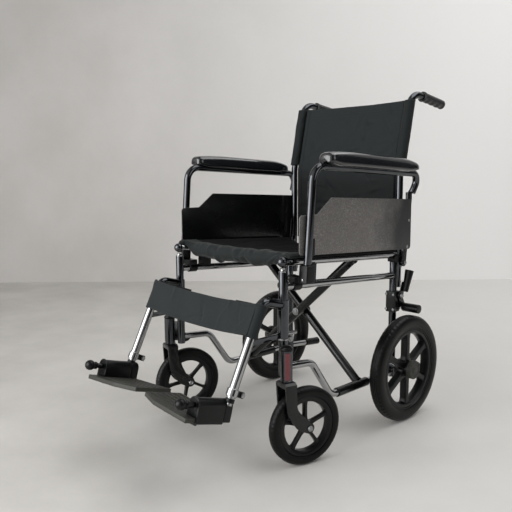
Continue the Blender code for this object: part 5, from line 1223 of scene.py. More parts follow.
def brake_clamp(side):
    """Two shells with a gap between them, cheek, four bolts and the pivot pin."""
    x = side * FRAME_X
    seat = at(x, REAR_POST_Y, (CLAMP_FOOT + CLAMP_TOP) / 2) @ turn("Z", 90)
    parts = []
    for sign, start, end in ((-1, -96, -264), (1, -84, 84)):
        shell = np.vstack([[(sign * 0.0012, CLAMP_HALF), (sign * 0.01425, CLAMP_HALF),
                            (sign * 0.01425, -CLAMP_HALF), (sign * 0.0012, -CLAMP_HALF)],
                           arc((0, 0), REAR_POST_R + 0.0002, start, end, 21)])
        parts.append((slab(shell, CLAMP_HEIGHT, seat, 0.0009), black_enamel))
    parts.append((block((side * (FRAME_X + 0.0132), REAR_POST_Y - 0.01425, CLAMP_FOOT + 0.012),
                        (side * CHEEK_OUT, REAR_POST_Y + 0.01575, CLAMP_TOP), edge=0.0012), black_enamel))
    ends = [(-0.0172, -CLAMP_HALF, 0.0042), (CLAMP_HALF, 0.0178, 0.0044)]
    parts += [(rod_along(x + dx, z, REAR_POST_Y + start, REAR_POST_Y + end, radius, edge=0.0008, sides=6),
               zinc_steel) for z in (CLAMP_FOOT + 0.008, CLAMP_TOP - 0.009) for dx in (-0.0118, 0.0118)
              for start, end, radius in ends]
    face = LEVER_OUT + BRAKE_GAP
    return parts + [(rod_across(BRAKE_Y, BRAKE_Z, side * (CHEEK_OUT - 0.002), side * (face + 0.001), 0.004),
                     zinc_steel),
                    (rod_across(BRAKE_Y, BRAKE_Z, side * face, side * (face + 0.004), 0.0075, 0.0064,
                                edge=0.0010), zinc_steel)]


# %% Brake shoe and lever
def brake_shoe(side):
    """Flat arm on the pin and the bar in its plastic sleeve."""
    arm = slab(link((BRAKE_Y, BRAKE_Z), (SHOE_Y, SHOE_Z), 0.009, 0.010), BRAKE_PLATE,
               side_plane(side * (SHOE_IN + SHOE_OUT) / 2), 0.0008)
    bar = rod_across(SHOE_Y, SHOE_Z, side * (SHOE_OUT - 0.001), side * (SHOE_OUT + 0.052), 0.0125,
                     edge=0.0012, sides=36)
    rivet = rod_across(SHOE_Y, SHOE_Z, side * (SHOE_IN + 0.0010), side * (SHOE_IN - TOUCH), 0.0045,
                       edge=0.0002, sides=24)
    return [(arm, black_enamel), (bar, nylon), (rivet, zinc_steel)]


def brake_lever(side):
    """Pressed foot and the hollow flared sleeve."""
    tilt = np.radians(BRAKE_TILT)
    along = np.array((0, np.sin(tilt), np.cos(tilt)))
    pivot = np.array((0, BRAKE_Y, BRAKE_Z))
    root = pivot + along * 0.0335
    foot = slab(link((BRAKE_Y, BRAKE_Z), root[1:], 0.010, 0.008), BRAKE_PLATE,
                side_plane(side * (LEVER_IN + LEVER_OUT) / 2), 0.0008)
    start = 0.0135
    reach = 0.076 - start
    sleeve = [(0.0030, 0.0), (0.0078, 0.0), (0.0087, 0.0010), (0.0095, 0.0180), (0.0112, 0.0420),
              (0.01235, reach - 0.004), (0.01275, reach - 0.0015), (0.0123, reach), (0.0112, reach - 0.0004),
              (0.0104, reach - 0.0030), (0.0096, reach - 0.0200), (0.0030, reach - 0.0210)]
    root = np.array((side * (LEVER_IN + 0.01275), 0, 0)) + pivot + along * start
    seat = at(*root) @ turn("X", -BRAKE_TILT)
    return [(foot, black_enamel), (turned(sleeve, seat, 40), nylon)]


both_sides(("brake_bracket", brake_clamp, "brake_clamp"), ("brake_bar", brake_shoe, "brake_shoe"),
           ("brake_stick", brake_lever, "brake_lever"))

# %% [markdown]
# ## Legrests
# The hanger is a sleeve that swings on the front post, a bent tube and a flat lower bar. In its
# down-tube slides the inner tube, locked by a small clamp. At the foot an elbow block carries a rod
# with a ball end, and the footplate's barrel turns on that rod.

# %% Hanger and its clamp
LEG_X = 0.204
LEG_R = 0.0111
LEG_TILT = 26.4
LEG_TOP = np.array((-0.5155, 0.4155))
leg_down = np.array((0, -np.sin(np.radians(LEG_TILT)), -np.cos(np.radians(LEG_TILT))))


def leg_foot(side):
    """The down-tube's lower end, on its axis."""
    return np.array((side * LEG_X, *LEG_TOP)) + leg_down * (LEG_TOP[1] - 0.2085) / np.cos(
        np.radians(LEG_TILT))


def leg_seat(side):
    """Frame of the down-tube: its Z runs up the tube from the tube's lower end."""
    return at(*leg_foot(side)) @ turn("X", -LEG_TILT)


def hanger(side):
    """Sleeve with lips, dark elbow, bright down-tube, lower bar and latch plate."""
    x = side * FRAME_X
    top = HANGER_FOOT_Z + 0.094
    sleeve = bush(0.0114, 0.0129, 0.0134, HANGER_FOOT_Z, top, 0.0006)
    start = np.array((x, FRONT_POST_Y, top - 0.0121))
    path = bent([start, (side * LEG_X, *LEG_TOP), leg_foot(side)], 0.024, 4)
    bar_y = LEG_TOP[0] - (LEG_TOP[1] - HANGER_FOOT_Z) * np.tan(np.radians(LEG_TILT))
    bar = block((side * LEG_X - 0.0035, bar_y, HANGER_FOOT_Z),
                (side * LEG_X + 0.0035, FRONT_POST_Y - 0.012, HANGER_FOOT_Z + 0.013), edge=0.0012)
    plate = slab(rounded([(x - 0.013, -0.4530), (x + 0.013, -0.4530), (x + 0.013, -0.4300),
                          (x - 0.013, -0.4300)], 0.005), 0.0026,
                 at(0, 0, HANGER_FOOT_Z + 0.0030), 0.0007)
    seam = weld(start, (0, -1, 0), (1, 0, 0), LEG_R, 0.0134)
    latch = [(rod((x, FRONT_POST_Y + 0.0125, HANGER_FOOT_Z + 0.0100),
                  (x, FRONT_POST_Y + 0.0460, HANGER_FOOT_Z + 0.0065), 0.0048, edge=0.0015), bright_chrome),
             (rod((x, FRONT_POST_Y + 0.0150, HANGER_FOOT_Z + 0.0165),
                  (x, FRONT_POST_Y + 0.0150, HANGER_FOOT_Z + 0.0025), 0.0034), zinc_steel)]
    return [(tube(path[-2:], LEG_R, edge=0.0012, sides=36), bright_chrome),
            (tube(np.vstack([path[:-1], path[-2] + leg_down * 0.004]), LEG_R + 0.00005, sides=36),
             black_chrome),
            (turned(sleeve, at(x, FRONT_POST_Y, 0), 40), black_chrome), (seam, black_chrome),
            (bar, black_chrome), (plate, black_enamel), *latch]


def tube_clamp(side):
    """Split ring with two ears, a bolt through them and a nut."""
    seat = leg_seat(side)
    low, high = 0.004, 0.021
    middle = (low + high) / 2
    ear = 0.0285

    def through(start, end, radius, **edges):
        """Rod through the ears."""
        return rod(carried(seat, (start, ear, middle)), carried(seat, (end, ear, middle)), radius, **edges)

    ring = bush(LEG_R + TOUCH, 0.0136, 0.01425, low, high, 0.0008)
    parts = [(turned(ring, seat, 48, looped=True), bright_chrome)]
    parts += [(block((sign * 0.0012, 0.0105, low + 0.001), (sign * 0.0042, 0.0355, high - 0.001), seat,
                     edge=0.0009), nylon) for sign in (-1, 1)]
    return parts + [(through(-0.0095, 0.0095, 0.0030), zinc_steel),
                    (through(-0.0042, -0.0092, 0.0058, edge=0.0010, sides=6), zinc_steel),
                    (through(0.0042, 0.0092, 0.0058, edge=0.0010, sides=24), zinc_steel)]


# %% Inner tube, elbow block, rod and ball
FLIP_X = 0.193
BALL = (-0.7505, 0.2256)
BALL_R = 0.0130
BARREL_START = 0.037
BARREL_LENGTH = 0.081


def flip_seat(side):
    """Frame of the footplate's axis: its Y runs down to the back from the ball's centre."""
    return at(side * FLIP_X, *BALL) @ turn("X", -16)


def barrel_outline(half, foot):
    """Section of a barrel: round above its axis, flat-sided down to its foot."""
    return np.vstack([arc((0, 0), half, 0, 180, 25), [(-half, -foot + 0.002), (-half + 0.002, -foot),
                                                     (half - 0.002, -foot), (half, -foot + 0.002)]])


def across_flip(side, y):
    """Frame square to the flip axis at a distance from the ball."""
    return flip_seat(side) @ at(0, y, 0) @ turn("X", 90)


def leg_inner(side):
    """Inner tube, moulded elbow block with its boss, and the rod."""
    leg, flip = leg_seat(side), flip_seat(side)
    start = BARREL_START + BARREL_LENGTH + 0.001
    middle = start + 0.0215 / 2
    return [(slab(barrel_outline(0.0160, 0.0360), 0.0215, across_flip(side, middle), 0.0016), nylon),
            (rod_on(leg, 0.122, -0.018, 0.0083), bright_chrome),
            (rod_on(leg, -0.0015, -0.012, 0.0111, edge=0.0015), nylon),
            (rod(carried(flip, (0, 0.009, 0)), carried(flip, (0, middle, 0)), 0.0065), black_enamel)]


def ball_end(side):
    """Ball with a short neck on the rod's front end."""
    flip = flip_seat(side)
    a = np.radians(np.linspace(4, 142, 24))
    profile = np.vstack([BALL_R * np.stack([np.sin(a), np.cos(a)], -1),
                         [(0.0094, -0.0125), (0.0094, -0.0172), (0.0088, -0.0180), (0.0066, -0.0180)]])
    return turned(profile, flip @ turn("X", 90), 40)


# %% Footplates
def footplate(side):
    """Ribbed plate that slopes a little inwards, the barrel with its flange, on one frame."""
    flip = flip_seat(side)
    camber = flip @ turn("Y", side * 3.8)
    inner, outer, corner = -side * (FLIP_X - 0.0208), side * 0.0165, -side * 0.105
    outline = np.array([(outer, 0.010), (corner, 0.010), (inner, 0.031), (inner, 0.139),
                        (-side * 0.0265, 0.131), (-side * 0.0185, 0.106), (outer, 0.106)])
    parts = [(slab(rounded(outline, 0.0035, 20), 0.0105, camber @ at(0, 0, -0.0258 - 0.00525), 0.0014),
              grey_plastic)]
    near, far = -side * 0.0245, inner + side * 0.008
    parts += [(block((near, y + shift - 0.0010, -0.0268), (far, y + shift + 0.0010, -0.0246), camber,
                     edge=0.0005), grey_plastic)
              for y in np.linspace(0.041, 0.126, 6) for shift in (-0.0022, 0.0022)]
    barrel = slab(barrel_outline(0.0165, 0.0400), BARREL_LENGTH,
                  across_flip(side, BARREL_START + BARREL_LENGTH / 2), 0.0014)
    flange = slab(barrel_outline(0.0187, 0.0420), 0.0035, across_flip(side, BARREL_START + 0.00175), 0.0009)
    return parts + [(barrel, nylon), (flange, nylon)]


both_sides(("hanger_tube", hanger, "legrest_hanger"), ("tube_clamp", tube_clamp, "leg_clamp"),
           ("leg_inner", leg_inner, "leg_extension"), ("ball_end", ball_end, "rod_ball", nylon, 60),
           ("foot_plate", footplate, "footplate"))

# %% [markdown]
# ## The scissor brace
# Two enamelled tubes cross under the seat on one bolt. Each turns on a lower rail with its sleeve
# and carries the seat rail of the other side. A ball closes each seat rail in front.

# %% Braces, bolt and ball caps
BRACE_Y = -0.158
BRACE_R = 0.01225
BRACE_STEP = 0.0135
BRACE_SLEEVE = 0.131
BRACE_CENTRE_Z = LOWER_RAIL_Z + (seat_rail_z(BRACE_Y) - LOWER_RAIL_Z) / 2


def brace(seat_side, y):
    """Diagonal tube, sleeve on one rail, seat rail on the other side, and their welds."""
    foot = np.array((-seat_side * FRAME_X, y, LOWER_RAIL_Z))
    top = np.array((seat_side * FRAME_X, y, seat_rail_z(y)))
    along = unit(top - foot)
    away = 1 if y < BRACE_Y else -1
    near = y - away * (BRACE_R + 0.020)
    far = near + away * BRACE_SLEEVE
    sleeve = bush(0.0100, 0.0121, 0.0125, 0.0, BRACE_SLEEVE, 0.0005)
    seat = at(foot[0], min(near, far), LOWER_RAIL_Z) @ turn("X", -90)
    rail = [(top[0], yy, seat_rail_z(yy)) for yy in (SEAT_RAIL_FRONT_Y, SEAT_RAIL_REAR_Y)]
    return [(tube([foot + along * 0.009, top - along * 0.006], BRACE_R, sides=36, across=(0, 1, 0)),
             black_enamel),
            (turned(sleeve, seat, 40), black_enamel), (tube(rail, SEAT_RAIL_R, sides=36), bright_chrome),
            (weld(foot, along, (0, 1, 0), BRACE_R, 0.0125), black_enamel),
            (weld(top, -along, (0, 1, 0), BRACE_R, SEAT_RAIL_R * 1.02), black_enamel)]


def brace_bolt():
    """Bolt through both tubes, its head and nut, and washers between and outside the tubes."""
    reach = BRACE_STEP + BRACE_R + TOUCH
    spans = [(-reach - 0.001, reach + 0.001, 0.005, 24), (-reach - 0.005, -reach, 0.009, 6),
             (reach, reach + 0.005, 0.009, 6), (-0.0009, 0.0009, 0.009, 24),
             (-reach - 0.0010, -reach + 0.0005, 0.0112, 28), (reach - 0.0005, reach + 0.0010, 0.0112, 28)]
    return [(rod_along(0, BRACE_CENTRE_Z, BRACE_Y + start, BRACE_Y + end, radius, edge=0.0008, sides=sides),
             zinc_steel) for start, end, radius, sides in spans]


def rail_ball(side):
    """Ball on the front end of a seat rail."""
    front = (side * FRAME_X, SEAT_RAIL_FRONT_Y - 0.001, seat_rail_z(SEAT_RAIL_FRONT_Y))
    return ball(front, 0.0125, axis=(0, 1, 0))


piece("rear_brace_tube", brace(-1, BRACE_Y + BRACE_STEP), ["rear_cross_brace"])
piece("front_brace_tube", brace(1, BRACE_Y - BRACE_STEP), ["front_cross_brace"])
piece("brace_centre_bolt", brace_bolt(), ["brace_bolt"])
both_sides(("rail_ball", rail_ball, "rail_cap", black_chrome, 60))

# %% [markdown]
# ## Cloth
# Seat, back and strap are single sheets. Each is a middle surface on a grid, given its thickness
# along its own normals and closed round its rim. The same grid gives the UV map, as lengths
# measured along the cloth, so the weave keeps its size. Creases are soft ridges strewn by a seeded
# generator. Each sheet's flat size is the length of its middle surface, both ways.

# %% Cloth helpers
def lengths(grid, axis):
    """Mean length along one direction of the grid, at each of its lines."""
    steps = np.linalg.norm(np.diff(grid, axis=axis), axis=-1).mean(axis=1 - axis)
    return np.concatenate([[0.0], np.cumsum(steps)])


def cloth(grid, thickness):
    """Closed sheet: skins at plus and minus half the thickness along the normal, and a round rim."""
    rows, columns = grid.shape[:2]
    down, over = np.gradient(grid, axis=0), np.gradient(grid, axis=1)
    half = np.broadcast_to(thickness, (rows, columns))[..., None] / 2
    lift = unit(np.cross(down, over)) * half
    out = np.zeros_like(grid)
    out[0] -= unit(down[0])
    out[-1] += unit(down[-1])
    out[:, 0] -= unit(over[:, 0])
    out[:, -1] += unit(over[:, -1])
    index = np.arange(rows * columns).reshape(rows, columns)
    edge = np.concatenate([index[:, 0], index[-1, 1:], index[-2::-1, -1], index[0, -2:0:-1]])
    rim = (grid + out * half * 0.7).reshape(-1, 3)[edge]
    places = np.vstack([(grid + lift).reshape(-1, 3), (grid - lift).reshape(-1, 3), rim])
    net = np.stack([index[:-1, :-1], index[1:, :-1], index[1:, 1:], index[:-1, 1:]], -1).reshape(-1, 4)
    count = rows * columns
    here = 2 * count + np.arange(len(edge))
    after = np.roll(here, -1)
    above = np.stack([np.roll(edge, -1), edge, here, after], -1)
    below = np.stack([after, here, edge + count, np.roll(edge, -1) + count], -1)
    faces = np.vstack([net, net[:, ::-1] + count, above, below])
    uv = np.stack(grid_of(lengths(grid, 0), lengths(grid, 1)), -1).reshape(-1, 2)
    return outward(places, faces, []), np.vstack([uv, uv, uv[edge]])


def creases(s, t, seed, count, length, width, height, slant=(0.0, 180.0)):
    """Sum of soft ridges: each is exp(-(along/length)^2 - (aside/width)^2) on its own slanted line."""
    draw = np.random.default_rng(seed)
    middle = draw.random((count, 2))
    angle = np.radians(draw.uniform(*slant, count))
    sign = draw.choice((-1.0, 1.0), count) * draw.uniform(0.4, 1.0, count)
    ds, dt = s[..., None] - middle[:, 0], t[..., None] - middle[:, 1]
    along = ds * np.cos(angle) + dt * np.sin(angle)
    aside = dt * np.cos(angle) - ds * np.sin(angle)
    return height * (sign * np.exp(-(along / length) ** 2 - (aside / width) ** 2)).sum(-1)


def stitches(line, lift, pitch=0.0048, length=0.0034, radius=0.0005):
    """Row of spindles with six corners, one at every pitch along a line on the cloth."""
    run = np.concatenate([[0], np.cumsum(np.linalg.norm(np.diff(line, axis=0), axis=1))])
    middle = np.arange(pitch, run[-1] - pitch, pitch)

    def along(distance, values):
        """Values at a distance along the line."""
        return np.stack([np.interp(distance, run, values[:, k]) for k in range(3)], -1)

    up = unit(along(middle, lift))
    start, end = along(middle - length / 2, line), along(middle + length / 2, line)
    centre = along(middle, line) + up * radius * 0.4
    aside = unit(np.cross(end - start, up))
    corners = np.stack([start, end, centre + up * radius, centre - up * radius, centre + aside * radius,
                        centre - aside * radius], 1)
    face = np.array([(0, 2, 4), (0, 4, 3), (0, 3, 5), (0, 5, 2), (1, 4, 2), (1, 3, 4), (1, 5, 3), (1, 2, 5)])
    faces = (np.arange(len(middle))[:, None, None] * 6 + face).reshape(-1, 3)
    return outward(corners.reshape(-1, 3), faces, [])


# %% [markdown]
# ## Seat cloth
# The seat is slung between the two rails. Its side hems are doubled and padded where they lie over
# the rails, it sags across, and its front edge is a wide slate-grey band that is rolled over foam
# and crumples.

# %% Seat cloth
SEAT_FRONT = SEAT_RAIL_FRONT_Y + 0.022
SEAT_BACK = SEAT_RAIL_REAR_Y - 0.018
HEM_PART = 0.083
HEM_THICKNESS = 0.0105
HEM_ANGLE = np.radians(48)
SEAT_THICKNESS = 0.0026
SEAT_REACH = SEAT_RAIL_R + 0.0004 + HEM_THICKNESS / 2
BAND_DEPTH = 0.042
BAND_LIFT = 0.0012
BAND_ROWS = 181


def between_hems(s):
    """Share of the way from the right hem to the left one, held on the hems."""
    return np.clip((s - HEM_PART) / (1 - 2 * HEM_PART), 0, 1)


def roll_radius(s):
    """Radius of the front roll: none on the rails, 19 mm across, 11.5 mm towards the left rail."""
    return (0.0190 - 0.0075 * smooth_step((s - 0.66) / 0.22)) * smooth_step(3 * bow(between_hems(s)))


def seat_top(s, y):
    """Seat over x and y: a round on each rail, a parabola of sag between, and creases."""
    t = (y - SEAT_FRONT - roll_radius(s)) / (SEAT_BACK - SEAT_FRONT)
    sag = 0.001 + 0.029 * smooth_step(t / 0.24)
    leave = np.arctan2(4 * sag, 2 * FRAME_X)
    on_rail = np.clip(np.minimum(s, 1 - s) / HEM_PART, 0, 1)
    side = np.where(s > 0.5, 1.0, -1.0)
    angle = -HEM_ANGLE + (HEM_ANGLE + leave) * on_rail
    across = between_hems(s)
    slack = bow(across)
    over = on_rail < 1
    x = np.where(over, side * (FRAME_X - SEAT_REACH * np.sin(angle)),
                 (FRAME_X - SEAT_REACH * np.sin(leave)) * (2 * across - 1))
    soft = creases(across, t, 11, 46, 0.16, 0.022, 0.0026, (60, 120)) + creases(
        across, t, 12, 30, 0.12, 0.03, 0.0020) + creases(across, t, 14, 16, 0.05, 0.014, 0.0030, (20, 160))
    z = seat_rail_z(y) + np.where(over, SEAT_REACH * np.cos(angle), SEAT_REACH * np.cos(leave)
                                  - sag * slack + soft * np.minimum(1, 3 * slack))
    return np.stack([x, y, z], -1)


def hem_thickness(s):
    """10.5 mm of doubled, padded cloth on the rails, 2.6 mm between them."""
    hem = 1 - smooth_step((np.minimum(s, 1 - s) - 0.075) / 0.05)
    return SEAT_THICKNESS + (HEM_THICKNESS - SEAT_THICKNESS) * hem


def band_grid_of_seat():
    """Band on the seat's front: 1.2 mm above the cloth, then round the roll, R (sin f, 1 - cos f)."""
    s, v = shares(BAND_ROWS, 12)
    y = SEAT_FRONT + roll_radius(s) + BAND_DEPTH * (1 - v)
    top = seat_top(s, y) + (0, 0, BAND_LIFT)
    s, f = grid_of(np.linspace(0, 1, BAND_ROWS), np.linspace(0, 1, 26)[1:])
    slack = bow(between_hems(s))
    dents = creases(s, 0.3 * f, 13, 46, 0.10, 0.016, 0.0052, (55, 125)) + creases(
        s, 0.3 * f, 15, 26, 0.05, 0.012, 0.0040, (0, 180))
    radius = roll_radius(s) * (1 + 0.05 * np.sin(19 * s + 1))
    swell = dents * np.minimum(1, 2.5 * slack) * smooth_step(4 * f)
    turned_by = np.radians(205) * f
    start = top[:, -1:]
    ahead = 0.010 * f * (1 - smooth_step(4 * slack))
    roll = np.stack([np.broadcast_to(start[..., 0], s.shape),
                     start[..., 1] - (radius + swell) * np.sin(turned_by) - ahead,
                     start[..., 2] - radius + (radius + swell) * np.cos(turned_by)], -1)
    return np.concatenate([top, roll], 1)


def seat_piece(name, grid, finish, seams):
    """Cloth between the braces, with rows of stitches on the given lines of its grid."""
    thickness = hem_thickness(np.linspace(0, 1, len(grid)))[:, None]
    surface, uv = cloth(grid, thickness)
    up = np.tile((0, 0, 1.0), (len(grid), 1))
    sewn = [(stitches(grid[4:-4, k] + up[4:-4] * (thickness[4:-4] / 2), up[4:-4]), thread_finish)
            for k in seams]
    made = piece(name, [(surface, finish, uv), *sewn], ["seat_sling"], smooth=80, rides=False)
    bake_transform(made)


# The near-black seat cloth is its dark nylon deepened by painted shade on the seat's top; the lighter slate
# band is painted light on the lit front roll.
s_top, v_top = shares(121, 80)
front_y = SEAT_FRONT + roll_radius(s_top) + BAND_DEPTH - 0.005
seat_piece("seat_cloth", seat_top(s_top, SEAT_BACK + (front_y - SEAT_BACK) * v_top), black_nylon, (2,))
seat_piece("seat_front_band", band_grid_of_seat(), hem_nylon, (1, 3))

# %% [markdown]
# ## Back cloth
# The back is a panel with a sleeve at each side that slips over the cane. It bows back a little and
# shows slanting pulls from the sleeves. When the chair folds, each sleeve stays on its own cane.

# %% Back cloth
BACK_TOP_Z = 0.915
BACK_FOOT_Z = 0.500
SLEEVE_FOOT_Z = 0.7355
BACK_THICKNESS = 0.0030


def back_grid():
    """Panel: bowed by 16 mm between the canes, with a welt and a groove beside each sleeve."""
    part = 0.5 - 0.5 * np.cos(np.linspace(0, np.pi, 141))
    s, t = grid_of(part, np.linspace(0, 1, 101))
    z = BACK_FOOT_Z + (BACK_TOP_Z - BACK_FOOT_Z) * t
    half = 0.1930 + 0.0086 * smooth_step((z - SLEEVE_FOOT_Z - 0.004) / 0.008)
    slack = bow(s)
    folds = 0.0016 * np.sin(5 * np.pi * s + 4 * t) * slack * (0.4 + 0.6 * t)
    pulls = creases(s, t, 21, 12, 0.16, 0.018, 0.0026, (20, 70)) + creases(
        s, t, 22, 12, 0.16, 0.018, 0.0020, (100, 160)) + creases(
        s, t, 23, 34, 0.05, 0.011, 0.0050) + creases(s, 3 * t, 24, 30, 0.09, 0.03, 0.0042, (0, 40))
    x = half * (2 * s - 1)
    welt = smooth_step((np.abs(x) - 0.1745) / 0.003) * (1 - smooth_step((np.abs(x) - 0.1845) / 0.003))
    groove = smooth_step((np.abs(x) - 0.1855) / 0.003)
    y = cane_y(z) + 0.016 * slack ** 0.9 + folds + pulls * np.minimum(1, 3 * slack)
    return np.stack([x, y - 0.0028 * welt + 0.0040 * groove, z - 0.002 * slack * t ** 8], -1)


def sleeve_grid(side):
    """Sleeve: a nearly closed round about the cane, fuller where it is creased."""
    z = np.linspace(SLEEVE_FOOT_Z, BACK_TOP_Z, 48)
    angle = np.radians(np.linspace(8, 352, 61)) + (np.pi if side > 0 else 0.0)
    a, h = grid_of(angle, z)
    radius = 0.0142 + creases(a / 6.3, (h - SLEEVE_FOOT_Z) / 0.18, 31 + side, 30, 0.2, 0.05, 0.0011)
    return np.stack([side * FRAME_X + radius * np.cos(a), cane_y(h) + radius * np.sin(a), h], -1)


back_middle = back_grid()
back_surface, back_uv = cloth(back_middle, BACK_THICKNESS)
ahead = np.array((0, -1.0, 0))
sewn = [(stitches(line + ahead * BACK_THICKNESS / 2, np.tile(ahead, (len(line), 1))), thread_finish)
        for line in (back_middle[:, -6], back_middle[:, -8], back_middle[:, 5])]
back = piece("back_cloth", [(back_surface, slate_nylon, back_uv), *sewn], ["back_sling"], smooth=80)
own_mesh(back)
# The sleeves take the darker hem nylon: painted shade on their sides that face away from the lamp.
for word, side in SIDES.items():
    wrap = sleeve_grid(side)
    surface, uv = cloth(wrap, 0.0020)
    sleeve = piece(f"back_sleeve_{word}", [(surface, hem_nylon, uv)], ["back_sling"], smooth=80,
                   rides=False)
    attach(sleeve, f"{word}_side")

# %% [markdown]
# ## Calf strap
# A broad strap of the same nylon hangs between the two down-tubes, with a loop round each. The left
# loop and the band go with the left legrest, the right loop with the right one.

# %% Calf strap
STRAP_SEAT = at(0, *(LEG_TOP + leg_down[1:] * (0.0175 + 0.035))) @ turn("X", -LEG_TILT)
STRAP_TALL = 0.076
STRAP_BELOW = 0.46
STRAP_SKEW = 0.006
STRAP_BULGE = 0.006
STRAP_THICKNESS = 0.0028
STRAP_Y = -0.0150


def band_height(s, t):
    """Height along the tubes: 76 mm tall, 7 to 9 mm of droop, 6 mm higher at its right end."""
    return STRAP_TALL * (t - STRAP_BELOW) - bow(s) * (0.009 - 0.002 * t) + STRAP_SKEW * (1 - s)


def band_grid():
    """Band in front of the tubes: bulges 6 mm, both edges bow down, its right end sits higher."""
    s, t = shares(141, 41)
    slack = bow(s)
    bulge = STRAP_BULGE * slack + 0.0022 * np.sin(6 * np.pi * s + 2 * t) * slack + (creases(
        s, t * 0.2, 41, 34, 0.06, 0.012, 0.0034, (50, 130)) + creases(
        s, t * 0.2, 42, 16, 0.06, 0.010, 0.0024, (0, 30))) * np.minimum(1, 4 * slack)
    hem = 0.0009 * ((t < 0.10) | (t > 0.90))
    return carried(STRAP_SEAT, np.stack([LEG_X * (2 * s - 1), STRAP_Y + bulge - hem, band_height(s, t)], -1))


def tail_grid(start, end):
    """End of a loop's webbing, fastened behind the band and showing above its upper edge."""
    s, t = grid_of(np.linspace(start, end, 25), np.linspace(0.2, 1.0, 12))
    depth = STRAP_Y + STRAP_BULGE * bow(s) + 0.0052
    height = STRAP_TALL * (t - STRAP_BELOW) + 0.0015 + STRAP_SKEW * (1 - s) - 0.003 * bow(s)
    return carried(STRAP_SEAT, np.stack([LEG_X * (2 * s - 1), depth, height], -1))


def loop_grid(side):
    """Loop round a down-tube: a round of 290 degrees, flaring a little at its upper edge."""
    angle = np.radians(np.linspace(-100, 190, 49))
    a, t = grid_of(angle if side > 0 else np.pi - angle, np.linspace(0, 1, 25))
    radius = 0.0137 + 0.0016 * smooth_step((t - 0.6) / 0.4) + creases(
        a / 6.3, t, 51 + side, 20, 0.2, 0.07, 0.0009)
    z = 0.080 * (t - STRAP_BELOW) + (STRAP_SKEW if side < 0 else 0.0)
    return carried(STRAP_SEAT, np.stack([side * LEG_X + radius * np.cos(a), radius * np.sin(a), z], -1))


band_middle = band_grid()
band_surface, band_uv = cloth(band_middle, STRAP_THICKNESS)
ahead = STRAP_SEAT[:3, :3] @ ahead
sewn = [(stitches(line + ahead * STRAP_THICKNESS / 2, np.tile(ahead, (len(line), 1))), thread_finish)
        for line in (band_middle[2:-2, 4], band_middle[2:-2, 36])]
tails = []
for ends in ((0.06, 0.36), (0.80, 0.94)):
    surface, uv = cloth(tail_grid(*ends), 0.0020)
    tails.append((surface, black_nylon, uv))
band = piece("calf_band", [(band_surface, strap_nylon, band_uv), *sewn, *tails], ["calf_strap"], smooth=80,
             rides=False)
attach(band, "legrest_left")
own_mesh(band)
for word, side in SIDES.items():
    wrap = loop_grid(side)
    surface, uv = cloth(wrap, 0.0024)
    loop = piece(f"calf_loop_{word}", [(surface, strap_nylon, uv)], ["calf_strap"], smooth=80, rides=False)
    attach(loop, f"legrest_{word}")

# %% [markdown]
# ## Floor, wall and light
# The chair stands on a plain pale concrete floor before a plain plastered wall. A broad soft box
# stands low on the left, so upright tubes mirror it as a bright streak. A wide lamp overhead lifts
# the floor and a weak one fills from the right. Rays that see the room beyond floor and wall see a
# pale tone, and mirrored rays see it fade to the unlit side of the room, which gives the plated
# tubes their dark edges.

# %% Floor and wall
def ground(name, slot_name, colour, pale, painted_light_tone, scale, roughness):
    """Plain mineral surface: clouds a few decimetres wide, fine sand, and painted light that brightens its
    right side.
    """
    made, tree, shader = start_finish(name, slot_name, colour, roughness)
    where = add(tree, "TexCoord").outputs["Object"]
    spread = ramp(tree, noise(tree, where, scale, 7.0, 0.62), 0.35, 0.68)
    aside = add(tree, "VectorMath", {0: where, 1: tuple(level)}, operation="DOT_PRODUCT")
    # painted light: the tone brightens towards the right
    right = ramp(tree, aside.outputs["Value"], -1.0, 1.5)
    tone = mixed(tree, right, mixed(tree, spread, linear(colour), linear(pale)), linear(painted_light_tone))
    feed(tree, shader, "Base Color", tone)
    relief(tree, shader, noise(tree, where, 160.0, 3.0), 0.2, 0.0008)
    return made


def stage_plane(name, corners, finish):
    """Flat four-cornered stage piece."""
    mesh = bpy.data.meshes.new(name)
    mesh.from_pydata(np.asarray(corners, float).tolist(), [], [(0, 1, 2, 3)])
    mesh.materials.append(finish)
    made = bpy.data.objects.new(name, mesh)
    bpy.context.scene.collection.objects.link(made)


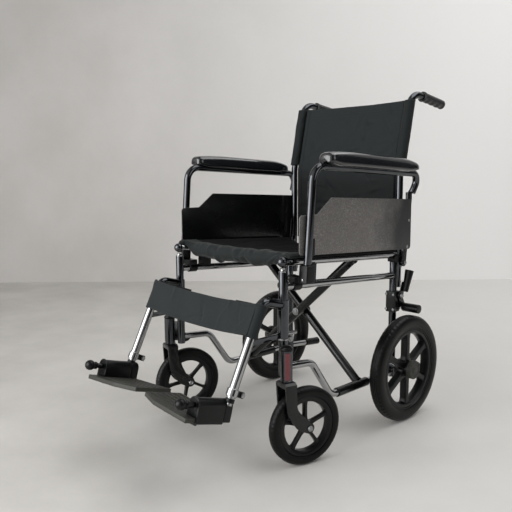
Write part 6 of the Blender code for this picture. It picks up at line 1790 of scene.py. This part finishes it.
concrete = ground("pale_screed_floor", "black_plastic", "#b5b2ac", "#c6c3be", "#dedcd8", 2.6, 0.8)
plaster = ground("pale_plaster_wall", "black_plastic", "#bdbab6", "#cbc8c5", "#efeeec", 1.1, 0.9)
ahead_flat = unit(forward * (1, 1, 0))
wall_foot = STANDPOINT * (1, 1, 0) + ahead_flat * 4.07
left_end, right_end = wall_foot - level * 9, wall_foot + level * 9
stage_plane("floor", [left_end, right_end, right_end - ahead_flat * 6.5, left_end - ahead_flat * 6.5],
            concrete)
stage_plane("wall", [right_end, left_end, left_end + (0, 0, 5), right_end + (0, 0, 5)], plaster)
print("wall foot", np.round(wall_foot, 2))


# %% Lamps and room
def soft_lamp(name, place, aim, size, power):
    """Square area lamp that faces a place."""
    lamp = bpy.data.lights.new(name, "AREA")
    lamp.size = size
    lamp.energy = power
    made = bpy.data.objects.new(name, lamp)
    back = unit(np.asarray(place, float) - aim)
    right = unit(np.cross((0, 0, 1), back))
    seat = np.eye(4)
    seat[:3] = np.stack([right, np.cross(back, right), back, place], -1)
    made.matrix_world = Matrix(seat.tolist())
    bpy.context.scene.collection.objects.link(made)


aim = np.array((0, 0, 0.55))
soft_lamp("key_lamp", aim - level * 2.15 - ahead_flat * 1.35 + (0, 0, 0.65), aim, 2.3, 70)
soft_lamp("ceiling_lamp", level * 1.5 + ahead_flat * 0.3 + (0, 0, 3.2), aim + level * 0.8, 2.6, 48)
soft_lamp("fill_lamp", aim + level * 2.4 - ahead_flat * 1.2 + (0, 0, 0.9), aim, 1.2, 6)
world = bpy.data.worlds.new("room")
bpy.context.scene.world = world
world.use_nodes = True
tree = world.node_tree
tree.nodes.clear()
ray = add(tree, "LightPath").outputs
mirrored = add(tree, "Math", {0: ray["Is Glossy Ray"], 1: ray["Is Transmission Ray"]}, operation="MAXIMUM")
lit_side = add(tree, "VectorMath", {0: add(tree, "TexCoord").outputs["Generated"],
                                    1: tuple(unit(-level - 0.5 * ahead_flat + (0, 0, 0.3)))},
               operation="DOT_PRODUCT")
glow = ramp(tree, lit_side.outputs["Value"], 0.15, 0.75, 0.04, 1.0)
room = add(tree, "Background", {"Color": linear("#e8e9ec"), "Strength": 0.50})
mirror = add(tree, "Background", {"Color": linear("#e2e1df"), "Strength": glow})
seen = add(tree, "Background", {"Color": linear("#d9d7d3"), "Strength": 1.0})
both = add(tree, "MixShader", {0: mirrored.outputs[0], 1: room.outputs[0], 2: mirror.outputs[0]})
every = add(tree, "MixShader", {0: ray["Is Camera Ray"], 1: both.outputs[0], 2: seen.outputs[0]})
add(tree, "OutputWorld", {"Surface": every.outputs[0]})
print("lamps and room made")
